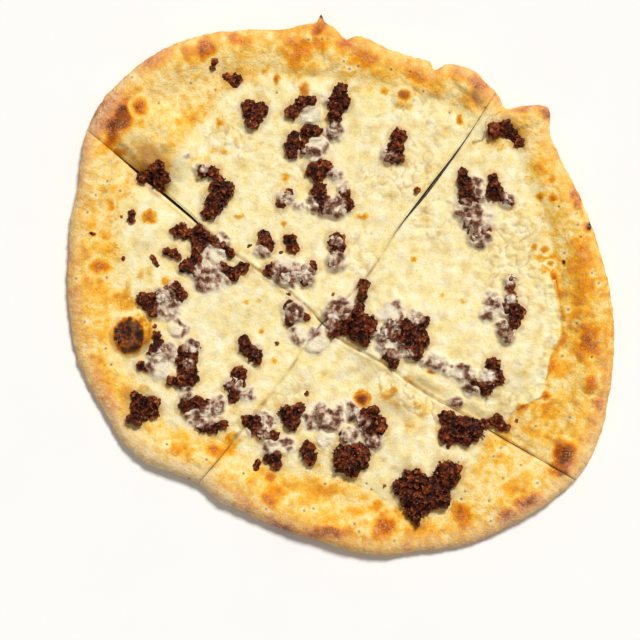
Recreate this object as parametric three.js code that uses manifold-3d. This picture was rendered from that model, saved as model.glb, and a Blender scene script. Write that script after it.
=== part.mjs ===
// Cheese and sujuk manakish: a round hand-stretched flatbread under melted cheese and crumbled
// sujuk, cut into four slices that keep the shape of the whole.
// Millimetres, +Z up, the underside at z = 0. Angles are in degrees, counterclockwise from +X.

import * as THREE from 'three';
import Module from 'manifold-3d';

const wasm = await Module();
wasm.setup();

// Driving dimensions
const CROSSING = [-9.5, -18.5]; // where the cuts meet, from the middle of the bread
const CRUMB_THICKNESS = 6.5; // bread under the cheese
const CREST_HEIGHT = 11.5; // top of the baked rim
const CREST_INSET = 8; // from the outer edge to the top of the rim
const RIM_WIDTH = 25; // from the outer edge to where the rim has flattened out
const CHEESE_THICKNESS = 2;
const CHEESE_EDGE_THICKNESS = 0.7;
const CHEESE_CUT_THICKNESS = 1.6; // the cheese is pressed thinner along a cut
const CLEARANCE = 0.3; // between one solid and the next
const TIP_SET_BACK = 0.8; // from the crossing of the cuts to the tip of a slice
const GROUND_DEPTH = 5; // how far the ground that clumps are set on reaches below z = 0
const SMALLEST_REACH = 2.2; // the waist of a clump between two lobes
const SETTLING_STEP = 0.1; // clumps are raised by this until they are clear of the ground

// Distance from the crossing to the outer edge, one value every 7.5 degrees from +X
const RIM_REACH = [
  154.5, 153, 152, 152, 152.5, 155, 161, 154,
  156, 150.5, 149.5, 154, 159.5, 157.5, 161, 165.5,
  168, 167.5, 165.5, 159, 149, 144, 139, 136,
  133, 131, 127.5, 124, 123, 119.5, 112, 107,
  108.5, 108, 109.5, 112, 115.5, 121.5, 127, 130.5,
  137, 142.5, 147.5, 153.5, 158.5, 159, 157, 155.5,
];

// Distance from the crossing to the edge of the cheese, one value every 15 degrees from +X
const CHEESE_REACH = [
  126, 129, 136, 144, 136, 134, 132.5, 138,
  128, 118, 128, 114, 110.5, 108.5, 101, 88,
  81, 82.5, 82, 93, 122, 112, 109, 122,
];

// Nicks and tips of the outer edge: bearing, half width in degrees, how far they stand out
const EDGE_FEATURES = [
  { bearing: 43.3, width: 2.0, out: 5 }, // curled corner of the right slice
  { bearing: 49.4, width: 2.2, out: -7 }, // torn nick beside it
  { bearing: 66.0, width: 1.1, out: -4 },
  { bearing: 85.4, width: 1.8, out: -5 },
  { bearing: 89.5, width: 1.4, out: 0.8 },
];

// The cuts: bearing and opening at each CUT_STEP of distance from the crossing
const CUT_STEP = 30;
const CUTS = {
  lower_right: {
    bearing: [-48, -34.6, -34.3, -32.9, -32.4, -31.8],
    opening: [0.4, 0.4, 0.5, 0.6, 0.6, 0.4],
  },
  upper_right: {
    bearing: [45, 45.8, 50.8, 51.4, 51.9, 52.9],
    opening: [0.4, 0.4, 0.5, 2.2, 1.6, 0.9],
  },
  upper_left: {
    bearing: [131, 138, 142, 141, 140.7, 140.6],
    opening: [0.4, 0.4, 0.5, 1.6, 1.8, 0.6],
  },
  lower_left: {
    bearing: [231, 235.3, 233.4, 232.8, 231.8, 231],
    opening: [0.4, 0.4, 0.4, 0.45, 0.5, 0.9],
  },
};

// The slices, each from its clockwise cut to its counterclockwise cut
const SLICES = {
  right: { from: CUTS.lower_right, to: CUTS.upper_right, turn: 0 },
  top: { from: CUTS.upper_right, to: CUTS.upper_left, turn: 0 },
  left: { from: CUTS.upper_left, to: CUTS.lower_left, turn: 0 },
  bottom: { from: CUTS.lower_left, to: CUTS.lower_right, turn: 360 },
};

// Swellings of the dough: centre, half lengths, turn of the long axis, rise
const SWELLINGS = {
  top: [
    { at: [-100, 79], half: [27, 14], turn: -20, rise: 4.5 },
    { at: [-104, 97], half: [5, 6], turn: 0, rise: 1.5 },
    { at: [34, 101], half: [8, 7], turn: 0, rise: 1.5 },
    { at: [-12, 121], half: [18, 9], turn: 10, rise: 1.5 },
    { at: [70, 108], half: [12, 8], turn: -30, rise: 1.8 },
  ],
  left: [
    { at: [-111, -24.5], half: [12.5, 13], turn: 0, rise: 6.5 },
    { at: [-128, 60], half: [10, 22], turn: -12, rise: 1.6 },
    { at: [-70, -88], half: [22, 10], turn: -40, rise: 1.5 },
  ],
  bottom: [
    { at: [60, -88], half: [75, 26], turn: -32, rise: 2.2 },
    { at: [-52, -108], half: [16, 9], turn: -35, rise: 1.5 },
    { at: [22, -127], half: [20, 9], turn: -5, rise: 1.4 },
  ],
  right: [
    { at: [132, -50], half: [6, 7], turn: 0, rise: 1.8 },
    { at: [125, -2], half: [9, 34], turn: -4, rise: 1.6 },
    { at: [100, 90], half: [13, 6], turn: 15, rise: 1.2 },
    { at: [118, -92], half: [14, 14], turn: 0, rise: 1.6 },
  ],
};

// Sujuk clumps: height, and the round lobes that each is made of as x, y, radius
const CLUMPS = {
  top_chip: { tall: 4, lobes: [[-60, 112, 2.8], [-55.5, 111, 4], [-56, 109, 3]] },
  top_trefoil: { tall: 7, lobes: [[-48, 95.5, 4.6], [-41.5, 94.5, 4.3], [-46.5, 88, 4.7], [-43.5, 91.5, 4.3]] },
  top_cut_knob: { tall: 7, lobes: [[-105, 58.5, 3.6], [-97, 63.5, 4.2], [-95.5, 59.5, 4.8], [-96.5, 54.5, 3.7]] },
  top_hook: { tall: 8, lobes: [[-72.5, 61.5, 3.7], [-67, 61, 3.8], [-60.5, 52.5, 4.8], [-67.5, 44, 5.3], [-70, 38, 3.3]] },
  top_arc: { tall: 6, lobes: [[-20, 98, 4.4], [-25.5, 93, 4.2], [-15, 99.5, 3.2]] },
  top_pillar: { tall: 9, lobes: [[0.5, 105, 4.3], [-2, 98, 5.3], [2.5, 98, 3.8], [-3, 91, 4.3], [-3, 83.5, 3.2]] },
  top_block: { tall: 7, lobes: [[-24.5, 80.5, 3.3], [-25, 76, 4.8], [-25.5, 71.5, 3.4]] },
  top_heel: { tall: 6.5, lobes: [[-17, 83, 4.3], [-12.5, 83, 3.8], [-19, 73.5, 3.3]] },
  top_bun: { tall: 7.5, lobes: [[-14, 63, 4.8], [-9.5, 64, 4.8], [-11.5, 60, 4.3], [-6.5, 64, 3.2]] },
  top_ridge: { tall: 6.5, lobes: [[-11, 52, 4.8], [-9, 43, 4.8], [-3.5, 41.5, 4], [3, 49.5, 3.8], [3.5, 44.5, 4.3]] },
  top_dusk: { tall: 4.5, lobes: [[-27, 50, 3.2], [-31, 45.5, 3.8]] },
  top_lone: { tall: 7.5, lobes: [[31, 80.5, 4.8], [30, 75, 4.8], [26.5, 69.5, 4.2], [30.5, 69.5, 4.2]] },
  top_button: { tall: 5.5, lobes: [[-40, 26.5, 3.8], [-39, 22.5, 3.8]] },
  top_bead: { tall: 5.5, lobes: [[-26.5, 25, 3.3], [-25.5, 21.5, 3.3]] },
  top_smear: { tall: 6, lobes: [[-36.5, 9.5, 4.4], [-30, 7, 5.3], [-23.5, 7.5, 3.7], [-14.5, 11.5, 3.3], [-17.5, 4.5, 3.8]] },
  top_pea: { tall: 5.5, lobes: [[-2, 25.5, 5.2], [-0.5, 21, 3.8], [-3.5, 13, 3.6]] },
  centre_main: { tall: 9, lobes: [[13, 2, 3.6], [11.5, -4.5, 3.2], [9.5, -14.5, 5.2], [14, -20, 7], [8.5, -23.5, 5.3], [12.5, -28, 3.4]] },
  centre_shade: { tall: 5.5, lobes: [[-5, -15.5, 3.8], [-2, -20.5, 4], [-4, -24, 3]] },
  left_speck: { tall: 4.5, lobes: [[-83.5, 30.5, 4.7], [-86.5, 29.5, 3.2]] },
  left_chain: { tall: 6.5, lobes: [[-74, 30.5, 3.7], [-75, 22.5, 4.3], [-67.5, 25.5, 3.3], [-62, 22, 3.2], [-58, 18.5, 3.2]] },
  left_elbow: { tall: 6.5, lobes: [[-76, 15.5, 3.8], [-82, 11.5, 3.8], [-76, 9, 3.8]] },
  left_bar: { tall: 6.5, lobes: [[-62.5, 11, 3.8], [-56.5, 7.5, 4.3], [-51, 11, 3.8]] },
  left_seed: { tall: 4.5, lobes: [[-91.5, 19.5, 2.8], [-88.5, 18.5, 3.2], [-85.5, 16.5, 2.2]] },
  left_raft: { tall: 7, lobes: [[-105, -5.5, 3.8], [-99, -12.5, 3.8], [-95.5, -4.5, 4.3], [-87, 0.5, 3.8], [-84, -3.5, 3.8]] },
  left_pebble: { tall: 6, lobes: [[-97, -25, 2.4], [-97.5, -32.5, 4.8], [-92.5, -30.5, 2.8]] },
  left_wedge: { tall: 4, lobes: [[-105.5, -41, 3], [-102, -42.5, 2.3]] },
  left_spine: { tall: 6.5, lobes: [[-77.5, -31, 3.6], [-84, -37, 3.3], [-79.5, -46.5, 4.9], [-83.5, -49.5, 3.8], [-89.5, -49, 2.8]] },
  left_twig: { tall: 5, lobes: [[-53, -45, 4], [-57, -52.5, 3.7], [-56, -57, 2.9]] },
  left_knot: { tall: 6.5, lobes: [[-49.5, -30.5, 4.3], [-45.5, -34.5, 4.8], [-43.5, -38.5, 2.8]] },
  left_crumble: { tall: 5.5, lobes: [[-26.5, -10.5, 4.3], [-23, -13, 3.8], [-18, -15.5, 2.4], [-26.5, -17.5, 3.3]] },
  left_nugget: { tall: 9, lobes: [[-106.5, -57.5, 4.8], [-100.5, -63, 6.4], [-105, -66, 4.8], [-106, -72, 2.8], [-111, -68.5, 3]] },
  left_pair: { tall: 6.5, lobes: [[-81.5, -62.5, 4.3], [-76, -60, 3.8], [-72, -63, 3.4], [-65.5, -62, 3.2]] },
  left_foot: { tall: 5, lobes: [[-71.5, -74, 3.3], [-67, -73.5, 3.3], [-63, -72, 2.3]] },
  right_corner: { tall: 5.5, lobes: [[82, 83.5, 5.2], [88, 86, 4.3], [91, 82.5, 3.8], [95, 77.5, 3.7]] },
  right_post: { tall: 7, lobes: [[66.5, 61, 4.2], [65, 52.5, 2.9], [65, 47, 4.2], [70, 45, 4.2]] },
  right_flank: { tall: 7, lobes: [[80.5, 57, 4.2], [81.5, 51, 4.6], [79, 49, 3.7], [88, 46.5, 3.2]] },
  right_haze: { tall: 5.5, lobes: [[68, 35, 3.8], [76, 31, 4.8], [72, 27.5, 4.2]] },
  right_spur: { tall: 5.5, lobes: [[90.5, 5, 2.7], [90, 1, 3.2]] },
  right_island: { tall: 7, lobes: [[88, -10.5, 4.2], [93.5, -13, 4.8], [92, -18.5, 3.8], [88, -26, 3.3]] },
  right_mound: { tall: 8.5, lobes: [[28, -18.5, 3.3], [36, -19.5, 4.3], [44.5, -17.5, 3.2], [42, -27.5, 5.8], [33.5, -28, 3.8], [40, -34, 4.8]] },
  right_toe: { tall: 6.5, lobes: [[25.5, -36, 3.2], [28.5, -39.5, 3.7]] },
  right_shoulder: { tall: 7, lobes: [[81, -41, 4.8], [83, -47.5, 4.8], [77.5, -53, 4.3], [70.5, -50, 2.8]] },
  bottom_slab: { tall: 8, lobes: [[56.5, -68.5, 4.8], [58, -77, 6.4], [65.5, -72.5, 6.2], [71.5, -75, 6.2], [67, -80.5, 3.8], [76, -72, 3.4]] },
  right_claw: { tall: 5.5, lobes: [[83.5, -67.5, 3.2], [85.5, -72.5, 3.2], [88.5, -73.5, 2.2]] },
  bottom_heart: { tall: 9.5, lobes: [[32, -105, 4.8], [38.5, -100.5, 6.4], [54.5, -98.5, 9], [45, -110.5, 8], [36, -113.5, 4.8], [40.5, -122.5, 2.4]] },
  bottom_boulder: { tall: 8, lobes: [[2.5, -88.5, 6.3], [10, -86.5, 6.3], [0.5, -94, 4.8], [6.5, -94, 5.8]] },
  bottom_crescent: { tall: 7.5, lobes: [[13, -69.5, 4.8], [17.5, -65, 3.8], [20, -73, 5.3], [17.5, -81, 4.6]] },
  bottom_thread: { tall: 4.5, lobes: [[-9.5, -67.5, 3.1], [-5.5, -71.5, 3.1], [2, -78, 3.4]] },
  bottom_marble: { tall: 6.5, lobes: [[-17.5, -84.5, 4.3], [-16, -89.5, 4.7]] },
  bottom_west: { tall: 6, lobes: [[-49, -70, 3.7], [-44, -69, 2.8], [-45, -74.5, 3.2], [-40.5, -77, 4.2], [-35, -78, 3.7]] },
  bottom_low: { tall: 6, lobes: [[-37.5, -89.5, 3.7], [-33.5, -93, 3.7], [-33, -88, 2.8]] },
  bottom_lump: { tall: 7.5, lobes: [[-27.5, -66.5, 5.8], [-21.5, -63.5, 3.7], [-25.5, -71.5, 4.8]] },
};

const TRIANGULATION = {
  spokes: 24, // columns across a slice
  cheeseRings: [0.1, 0.22, 0.34, 0.46, 0.57, 0.68, 0.78, 0.87, 0.94, 1], // shares of the cheese reach
  clumpSpokes: 14,
  bigClumpSpokes: 18,
  bigClumpReach: 11, // a clump that reaches further than this gets the finer count
};

// The rim beyond its crest: inset from the outer edge, share of the crest's height
const RIM_PROFILE = [[3.5, 0.9], [0.8, 0.66], [0, 0.4], [0.9, 0.14], [3, 0]];

const COLOURS = {
  bread: new THREE.Color('#dfae66'),
  cheese: new THREE.Color('#f0dfae'),
  sujuk: new THREE.Color('#4a2318'),
};

const radians = (degrees) => (degrees * Math.PI) / 180;
const mix = (a, b, share) => a + (b - a) * share;

function smoothStep(low, high, value) {
  const share = Math.min(1, Math.max(0, (value - low) / (high - low)));
  return share * share * (3 - 2 * share);
}

// Smooth curve through four neighbouring values, share running from the second to the third
function spline(before, start, end, after, share) {
  const slope = (end - before) / 2;
  const nextSlope = (after - start) / 2;
  const rise = end - start;
  return start + share * (slope + share * (3 * rise - 2 * slope - nextSlope
    + share * (slope + nextSlope - 2 * rise)));
}

function aroundTheClock(values, bearing) {
  const place = (((bearing % 360) + 360) % 360) / (360 / values.length);
  const index = Math.floor(place);
  const at = (offset) => values[(index + offset + values.length) % values.length];
  return spline(at(-1), at(0), at(1), at(2), place - index);
}

function alongTheCut(values, distance) {
  const place = Math.min(values.length - 1.001, distance / CUT_STEP);
  const index = Math.floor(place);
  const at = (offset) => values[Math.min(values.length - 1, Math.max(0, index + offset))];
  return spline(at(-1), at(0), at(1), at(2), place - index);
}

function rimReach(bearing) {
  let reach = aroundTheClock(RIM_REACH, bearing);
  for (const feature of EDGE_FEATURES) {
    const away = ((((bearing - feature.bearing) % 360) + 540) % 360) - 180;
    reach += feature.out * Math.exp(-((away / feature.width) ** 2));
  }
  return reach;
}

function cheeseReach(bearing) {
  return Math.min(aroundTheClock(CHEESE_REACH, bearing), rimReach(bearing) - CREST_INSET - 1);
}

// Slow unevenness of a hand-stretched sheet, about -1 to 1
function unevenness(x, y) {
  return 0.4 * Math.sin(x / 17 + 0.6 * Math.sin(y / 23))
    + 0.35 * Math.sin(y / 14 + x / 31 + 1.7)
    + 0.25 * Math.sin(x / 8.5 - y / 11 + 0.4);
}

function swelling(swell, x, y) {
  const turn = radians(swell.turn);
  const dx = x - swell.at[0];
  const dy = y - swell.at[1];
  const along = (dx * Math.cos(turn) + dy * Math.sin(turn)) / swell.half[0];
  const across = (dy * Math.cos(turn) - dx * Math.sin(turn)) / swell.half[1];
  return swell.rise * smoothStep(1, 0.35, Math.hypot(along, across));
}

function crestHeight(bearing) {
  return CREST_HEIGHT + 1.1 * Math.sin(radians(3 * bearing + 40)) + 0.8 * Math.sin(radians(7 * bearing));
}

// Height of the bread's top from the crossing out to the crest of the rim
function breadHeight(sliceName, x, y) {
  const dx = x - CROSSING[0];
  const dy = y - CROSSING[1];
  const bearing = (Math.atan2(dy, dx) * 180) / Math.PI;
  const inset = rimReach(bearing) - Math.hypot(dx, dy);
  const rimShare = smoothStep(RIM_WIDTH, CREST_INSET, inset);
  let height = mix(CRUMB_THICKNESS + 0.7 * unevenness(x, y), crestHeight(bearing), rimShare);
  for (const swell of SWELLINGS[sliceName]) height += swelling(swell, x, y);
  return height;
}

// One row of points across a slice, at a distance from the crossing that may change with bearing.
// The row stops short of each cut by half its opening, or runs past it by the overrun.
function rowAcross(slice, distanceAt, overrun) {
  const row = [];
  for (let column = 0; column <= TRIANGULATION.spokes; column += 1) {
    const share = column / TRIANGULATION.spokes;
    let bearing = mix(slice.from.bearing[2], slice.to.bearing[2] + slice.turn, share);
    let distance = distanceAt(bearing);
    for (let pass = 0; pass < 4; pass += 1) {
      const startGap = alongTheCut(slice.from.opening, distance) / 2 - overrun(slice.from, distance);
      const endGap = alongTheCut(slice.to.opening, distance) / 2 - overrun(slice.to, distance);
      const start = alongTheCut(slice.from.bearing, distance) + (startGap / distance) * (180 / Math.PI);
      const end = alongTheCut(slice.to.bearing, distance) - (endGap / distance) * (180 / Math.PI);
      bearing = mix(start, end + slice.turn, share);
      distance = distanceAt(bearing);
    }
    row.push([
      CROSSING[0] + distance * Math.cos(radians(bearing)),
      CROSSING[1] + distance * Math.sin(radians(bearing)),
    ]);
  }
  return row;
}

const stopAtCut = () => 0;
const runPastCut = (cut, distance) => alongTheCut(cut.opening, distance) / 2 + 0.4;

function sliceTip(slice) {
  const middle = radians((slice.from.bearing[0] + slice.to.bearing[0] + slice.turn) / 2);
  return [
    CROSSING[0] + TIP_SET_BACK * Math.cos(middle),
    CROSSING[1] + TIP_SET_BACK * Math.sin(middle),
  ];
}

// The plan of a slice: its tip, the rows under the cheese, and the rows from there to the crest
function slicePlan(sliceName, overrun) {
  const slice = SLICES[sliceName];
  const cheeseRows = TRIANGULATION.cheeseRings.map(
    (share) => rowAcross(slice, (bearing) => share * cheeseReach(bearing), overrun),
  );
  const rimRows = [0.5, 1].map((share) => rowAcross(
    slice,
    (bearing) => mix(cheeseReach(bearing), rimReach(bearing) - CREST_INSET, share),
    overrun,
  ));
  return { slice, tip: sliceTip(slice), cheeseRows, rimRows };
}

// A list of triangles that grows until it is one closed body
class Shell {
  constructor() {
    this.corners = [];
  }

  triangle(a, b, c) {
    this.corners.push(a, b, c);
  }

  quad(a, b, c, d) {
    this.triangle(a, b, c);
    this.triangle(a, c, d);
  }

  // Facing up when the rows run outwards, or down when flipped
  sheet(tip, rows, flipped = false) {
    const face = (a, b, c) => (flipped ? this.triangle(a, c, b) : this.triangle(a, b, c));
    for (let column = 0; column < rows[0].length - 1; column += 1) {
      face(tip, rows[0][column], rows[0][column + 1]);
      for (let ring = 0; ring < rows.length - 1; ring += 1) {
        face(rows[ring][column], rows[ring + 1][column], rows[ring + 1][column + 1]);
        face(rows[ring][column], rows[ring + 1][column + 1], rows[ring][column + 1]);
      }
    }
  }

  toManifold() {
    const keys = new Map();
    const vertices = [];
    const indices = [];
    for (const corner of this.corners) {
      const key = corner.map((value) => value.toFixed(4)).join(' ');
      if (!keys.has(key)) {
        keys.set(key, vertices.length / 3);
        vertices.push(...corner);
      }
      indices.push(keys.get(key));
    }
    return new wasm.Manifold(new wasm.Mesh({
      numProp: 3,
      vertProperties: new Float32Array(vertices),
      triVerts: new Uint32Array(indices),
    }));
  }
}

const raised = (rows, heightAt) => rows.map((row, ring) => row.map(
  ([x, y], column) => [x, y, heightAt(x, y, ring, column)],
));

// The rim beyond its crest, one row for each point of the profile
function profileRows(slice, crest, overrun) {
  return RIM_PROFILE.map(([inset, share]) => rowAcross(
    slice, (bearing) => rimReach(bearing) - inset, overrun,
  ).map(([x, y], column) => [x, y, share * crest[column][2]]));
}

// One slice of bread: uneven top, rounded rim, straight cut faces, flat underside
function breadSolid(sliceName) {
  const { slice, tip, cheeseRows, rimRows } = slicePlan(sliceName, stopAtCut);
  const top = raised([...cheeseRows, ...rimRows], (x, y) => breadHeight(sliceName, x, y));
  const crest = top[top.length - 1];
  const topTip = [...tip, breadHeight(sliceName, ...tip)];
  const rows = [...top, ...profileRows(slice, crest, stopAtCut)];
  const shell = new Shell();
  shell.sheet(topTip, rows);

  const floor = ([x, y]) => [x, y, 0];
  const floorTip = floor(tip);
  const last = crest.length - 1;
  const crestRing = top.length - 1;
  const cutFace = (column, wall) => {
    wall(topTip, floorTip, top[0][column]);
    wall(floorTip, floor(top[0][column]), top[0][column]);
    for (let ring = 0; ring < crestRing; ring += 1) {
      const inner = top[ring][column];
      const outer = top[ring + 1][column];
      wall(inner, floor(inner), outer);
      wall(floor(inner), floor(outer), outer);
    }
    const heel = floor(crest[column]);
    for (let ring = crestRing; ring < rows.length - 1; ring += 1) {
      wall(heel, rows[ring + 1][column], rows[ring][column]);
    }
  };
  cutFace(0, (a, b, c) => shell.triangle(a, b, c));
  cutFace(last, (a, b, c) => shell.triangle(a, c, b));

  const toe = rows[rows.length - 1];
  const edge = [
    floorTip,
    ...top.map((row) => floor(row[last])),
    ...toe.map(floor).reverse(),
    ...top.map((row) => floor(row[0])).reverse(),
  ];
  const middleRow = top[Math.floor(top.length / 2)];
  const middle = floor(middleRow[Math.round(last / 2)]);
  edge.forEach((corner, index) => {
    shell.triangle(middle, corner, edge[(index + 1) % edge.length]);
  });
  return shell.toManifold();
}

function cheeseThickness(ring, column) {
  if (ring === TRIANGULATION.cheeseRings.length - 1) return CHEESE_EDGE_THICKNESS;
  const beside = column === 0 || column === TRIANGULATION.spokes;
  return beside ? CHEESE_CUT_THICKNESS : CHEESE_THICKNESS;
}

// The melted layer on one slice, from cut to cut
function cheeseSolid(sliceName) {
  const { tip, cheeseRows } = slicePlan(sliceName, stopAtCut);
  const base = (x, y) => breadHeight(sliceName, x, y) + CLEARANCE;
  const lower = raised(cheeseRows, base);
  const upper = raised(cheeseRows, (x, y, ring, column) => base(x, y) + cheeseThickness(ring, column));
  const lowerTip = [...tip, base(...tip)];
  const upperTip = [...tip, base(...tip) + CHEESE_CUT_THICKNESS];
  const shell = new Shell();
  shell.sheet(upperTip, upper);
  shell.sheet(lowerTip, lower, true);
  const last = upper[0].length - 1;
  shell.quad(upperTip, lowerTip, lower[0][0], upper[0][0]);
  shell.quad(lowerTip, upperTip, upper[0][last], lower[0][last]);
  for (let ring = 0; ring < upper.length - 1; ring += 1) {
    shell.quad(upper[ring][0], lower[ring][0], lower[ring + 1][0], upper[ring + 1][0]);
    shell.quad(lower[ring][last], upper[ring][last], upper[ring + 1][last], lower[ring + 1][last]);
  }
  const upperEdge = upper[upper.length - 1];
  const lowerEdge = lower[lower.length - 1];
  for (let column = 0; column < last; column += 1) {
    shell.quad(upperEdge[column], lowerEdge[column], lowerEdge[column + 1], upperEdge[column + 1]);
  }
  return shell.toManifold();
}

// What a clump may not enter: the cheese and bread of one slice, raised by a margin
function groundSolid(sliceName, overrun, margin) {
  const { slice, tip, cheeseRows, rimRows } = slicePlan(sliceName, overrun);
  const flatRows = raised([...cheeseRows, ...rimRows], (x, y, ring) => {
    const onCheese = ring < cheeseRows.length;
    const cover = onCheese ? CLEARANCE + cheeseThickness(ring, 1) : 0;
    return breadHeight(sliceName, x, y) + cover + margin;
  });
  const widest = RIM_PROFILE.findIndex(([inset]) => inset === 0) + 1;
  const rows = [
    ...flatRows,
    ...profileRows(slice, flatRows[flatRows.length - 1], overrun).slice(0, widest),
  ];
  const topTip = [...tip, breadHeight(sliceName, ...tip) + CLEARANCE + CHEESE_THICKNESS + margin];
  const floor = ([x, y]) => [x, y, -GROUND_DEPTH];
  const shell = new Shell();
  shell.sheet(topTip, rows);
  shell.sheet(floor(topTip), rows.map((row) => row.map(floor)), true);
  const last = rows[0].length - 1;
  const cutFace = (column, wall) => {
    const line = [topTip, ...rows.map((row) => row[column])];
    for (let ring = 0; ring < line.length - 1; ring += 1) {
      wall(line[ring], floor(line[ring]), floor(line[ring + 1]), line[ring + 1]);
    }
  };
  cutFace(0, (a, b, c, d) => shell.quad(a, b, c, d));
  cutFace(last, (a, b, c, d) => shell.quad(d, c, b, a));
  const outer = rows[rows.length - 1];
  for (let column = 0; column < last; column += 1) {
    shell.quad(outer[column], floor(outer[column]), floor(outer[column + 1]), outer[column + 1]);
  }
  return shell.toManifold();
}

// The ground of the whole bread. A second, wider copy of each slice fills the openings of the cuts,
// so that no clump hangs down into one.
function wholeGround(names) {
  const pieces = names.flatMap((name) => [
    groundSolid(name, stopAtCut, CLEARANCE),
    groundSolid(name, runPastCut, 0),
  ]);
  return pieces.reduce((whole, piece) => whole.add(piece));
}

function sliceAt(x, y) {
  const bearing = (Math.atan2(y - CROSSING[1], x - CROSSING[0]) * 180) / Math.PI;
  const distance = Math.hypot(x - CROSSING[0], y - CROSSING[1]);
  const cutAt = (cut) => alongTheCut(cut.bearing, distance);
  const turned = (bearing + 360) % 360;
  if (turned < cutAt(CUTS.upper_right) || turned > cutAt(CUTS.lower_right) + 360) return 'right';
  if (turned < cutAt(CUTS.upper_left)) return 'top';
  return turned < cutAt(CUTS.lower_left) ? 'left' : 'bottom';
}

function groundHeight(x, y) {
  const dx = x - CROSSING[0];
  const dy = y - CROSSING[1];
  const reach = cheeseReach((Math.atan2(dy, dx) * 180) / Math.PI);
  const cover = Math.hypot(dx, dy) < reach ? CHEESE_THICKNESS + CLEARANCE : 0;
  return breadHeight(sliceAt(x, y), x, y) + cover;
}

// Steady small differences between one clump or spoke and the next, 0 to 1
function scatter(index, salt) {
  const value = Math.sin(index * 12.9898 + salt * 78.233) * 43758.5453;
  return value - Math.floor(value);
}

function lobeExit(lobe, centre, bearing) {
  const [dx, dy] = [lobe[0] - centre[0], lobe[1] - centre[1]];
  const along = dx * Math.cos(bearing) + dy * Math.sin(bearing);
  const aside = dx * dx + dy * dy - along * along;
  const inside = lobe[2] * lobe[2] - aside;
  return inside > 0 ? along + Math.sqrt(inside) : 0;
}

// How far the lobes reach from the centre of their clump, evened out over one spoke's width
function lobesReach(lobes, centre, bearing, width) {
  const rays = [-0.4, 0, 0.4].map((share) => Math.max(
    SMALLEST_REACH, ...lobes.map((lobe) => lobeExit(lobe, centre, bearing + share * width)),
  ));
  return (rays[0] + rays[1] + rays[2]) / 3;
}

// A clump: a craggy dome over the reach of its lobes, on a base that follows the ground at a
// height above it. The margin grows the dome on all sides.
function clumpDome(clump, salt, settled, margin) {
  const weight = clump.lobes.reduce((sum, lobe) => sum + lobe[2] ** 2, 0);
  const centre = [0, 1].map(
    (axis) => clump.lobes.reduce((sum, lobe) => sum + lobe[axis] * lobe[2] ** 2, 0) / weight,
  );
  const span = Math.max(...clump.lobes.map(
    (lobe) => Math.hypot(lobe[0] - centre[0], lobe[1] - centre[1]) + lobe[2],
  ));
  const big = span > TRIANGULATION.bigClumpReach;
  const spokes = big ? TRIANGULATION.bigClumpSpokes : TRIANGULATION.clumpSpokes;
  const rings = { shoulder: [], girth: [], root: [] };
  for (let spoke = 0; spoke < spokes; spoke += 1) {
    const bearing = (spoke / spokes) * 2 * Math.PI;
    const reach = lobesReach(clump.lobes, centre, bearing, (2 * Math.PI) / spokes)
      * mix(0.95, 1.05, scatter(spoke, salt)) + margin;
    const tall = clump.tall * mix(0.78, 1.02, scatter(spoke + 40, salt)) + margin;
    const point = (share, height) => {
      const x = centre[0] + share * reach * Math.cos(bearing);
      const y = centre[1] + share * reach * Math.sin(bearing);
      return [x, y, groundHeight(x, y) + height];
    };
    rings.shoulder.push(point(0.55, tall));
    rings.girth.push(point(1, 0.42 * tall));
    rings.root.push(point(0.94, settled - margin));
  }
  const peak = [...centre, groundHeight(...centre) + clump.tall + margin];
  const root = [...centre, groundHeight(...centre) + settled - margin];
  const shell = new Shell();
  for (let spoke = 0; spoke < spokes; spoke += 1) {
    const next = (spoke + 1) % spokes;
    const { shoulder, girth, root: foot } = rings;
    shell.triangle(peak, shoulder[spoke], shoulder[next]);
    shell.quad(shoulder[spoke], girth[spoke], girth[next], shoulder[next]);
    shell.quad(girth[spoke], foot[spoke], foot[next], girth[next]);
    shell.triangle(root, foot[next], foot[spoke]);
  }
  return shell.toManifold();
}

function biggestPiece(solid) {
  return solid.decompose().sort((a, b) => b.volume() - a.volume())[0];
}

function boxesMeet(a, b, margin) {
  const [boxA, boxB] = [a.boundingBox(), b.boundingBox()];
  return [0, 1, 2].every((axis) => boxA.min[axis] - margin < boxB.max[axis]
    && boxB.min[axis] - margin < boxA.max[axis]);
}

// Every clump, set down on the ground and kept clear of the clumps before it
function clumpSolids(ground) {
  const solids = {};
  const grown = [];
  Object.entries(CLUMPS).forEach(([name, clump], salt) => {
    let settled = CLEARANCE;
    while (clumpDome(clump, salt, settled, 0).intersect(ground).volume() > 0) {
      settled += SETTLING_STEP;
    }
    let solid = clumpDome(clump, salt, settled, 0);
    for (const neighbour of grown) {
      if (boxesMeet(solid, neighbour, CLEARANCE)) solid = solid.subtract(neighbour);
    }
    solids[`sujuk_${name}`] = biggestPiece(solid);
    grown.push(clumpDome(clump, salt, settled, CLEARANCE + 0.1));
  });
  return solids;
}

function toMesh(name, solid, colour, roughness) {
  const mesh = solid.getMesh();
  const geometry = new THREE.BufferGeometry();
  geometry.setAttribute('position', new THREE.BufferAttribute(Float32Array.from(mesh.vertProperties), 3));
  geometry.setIndex(Array.from(mesh.triVerts));
  geometry.computeVertexNormals();
  const material = new THREE.MeshStandardMaterial({ color: colour, roughness, metalness: 0 });
  const part = new THREE.Mesh(geometry, material);
  part.name = name;
  return part;
}

// The whole bread is moved so that the middle of its underside is the origin
function centred(group) {
  const box = new THREE.Box3().setFromObject(group);
  const middle = box.getCenter(new THREE.Vector3());
  for (const part of group.children) part.geometry.translate(-middle.x, -middle.y, -box.min.z);
  return group;
}

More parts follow.
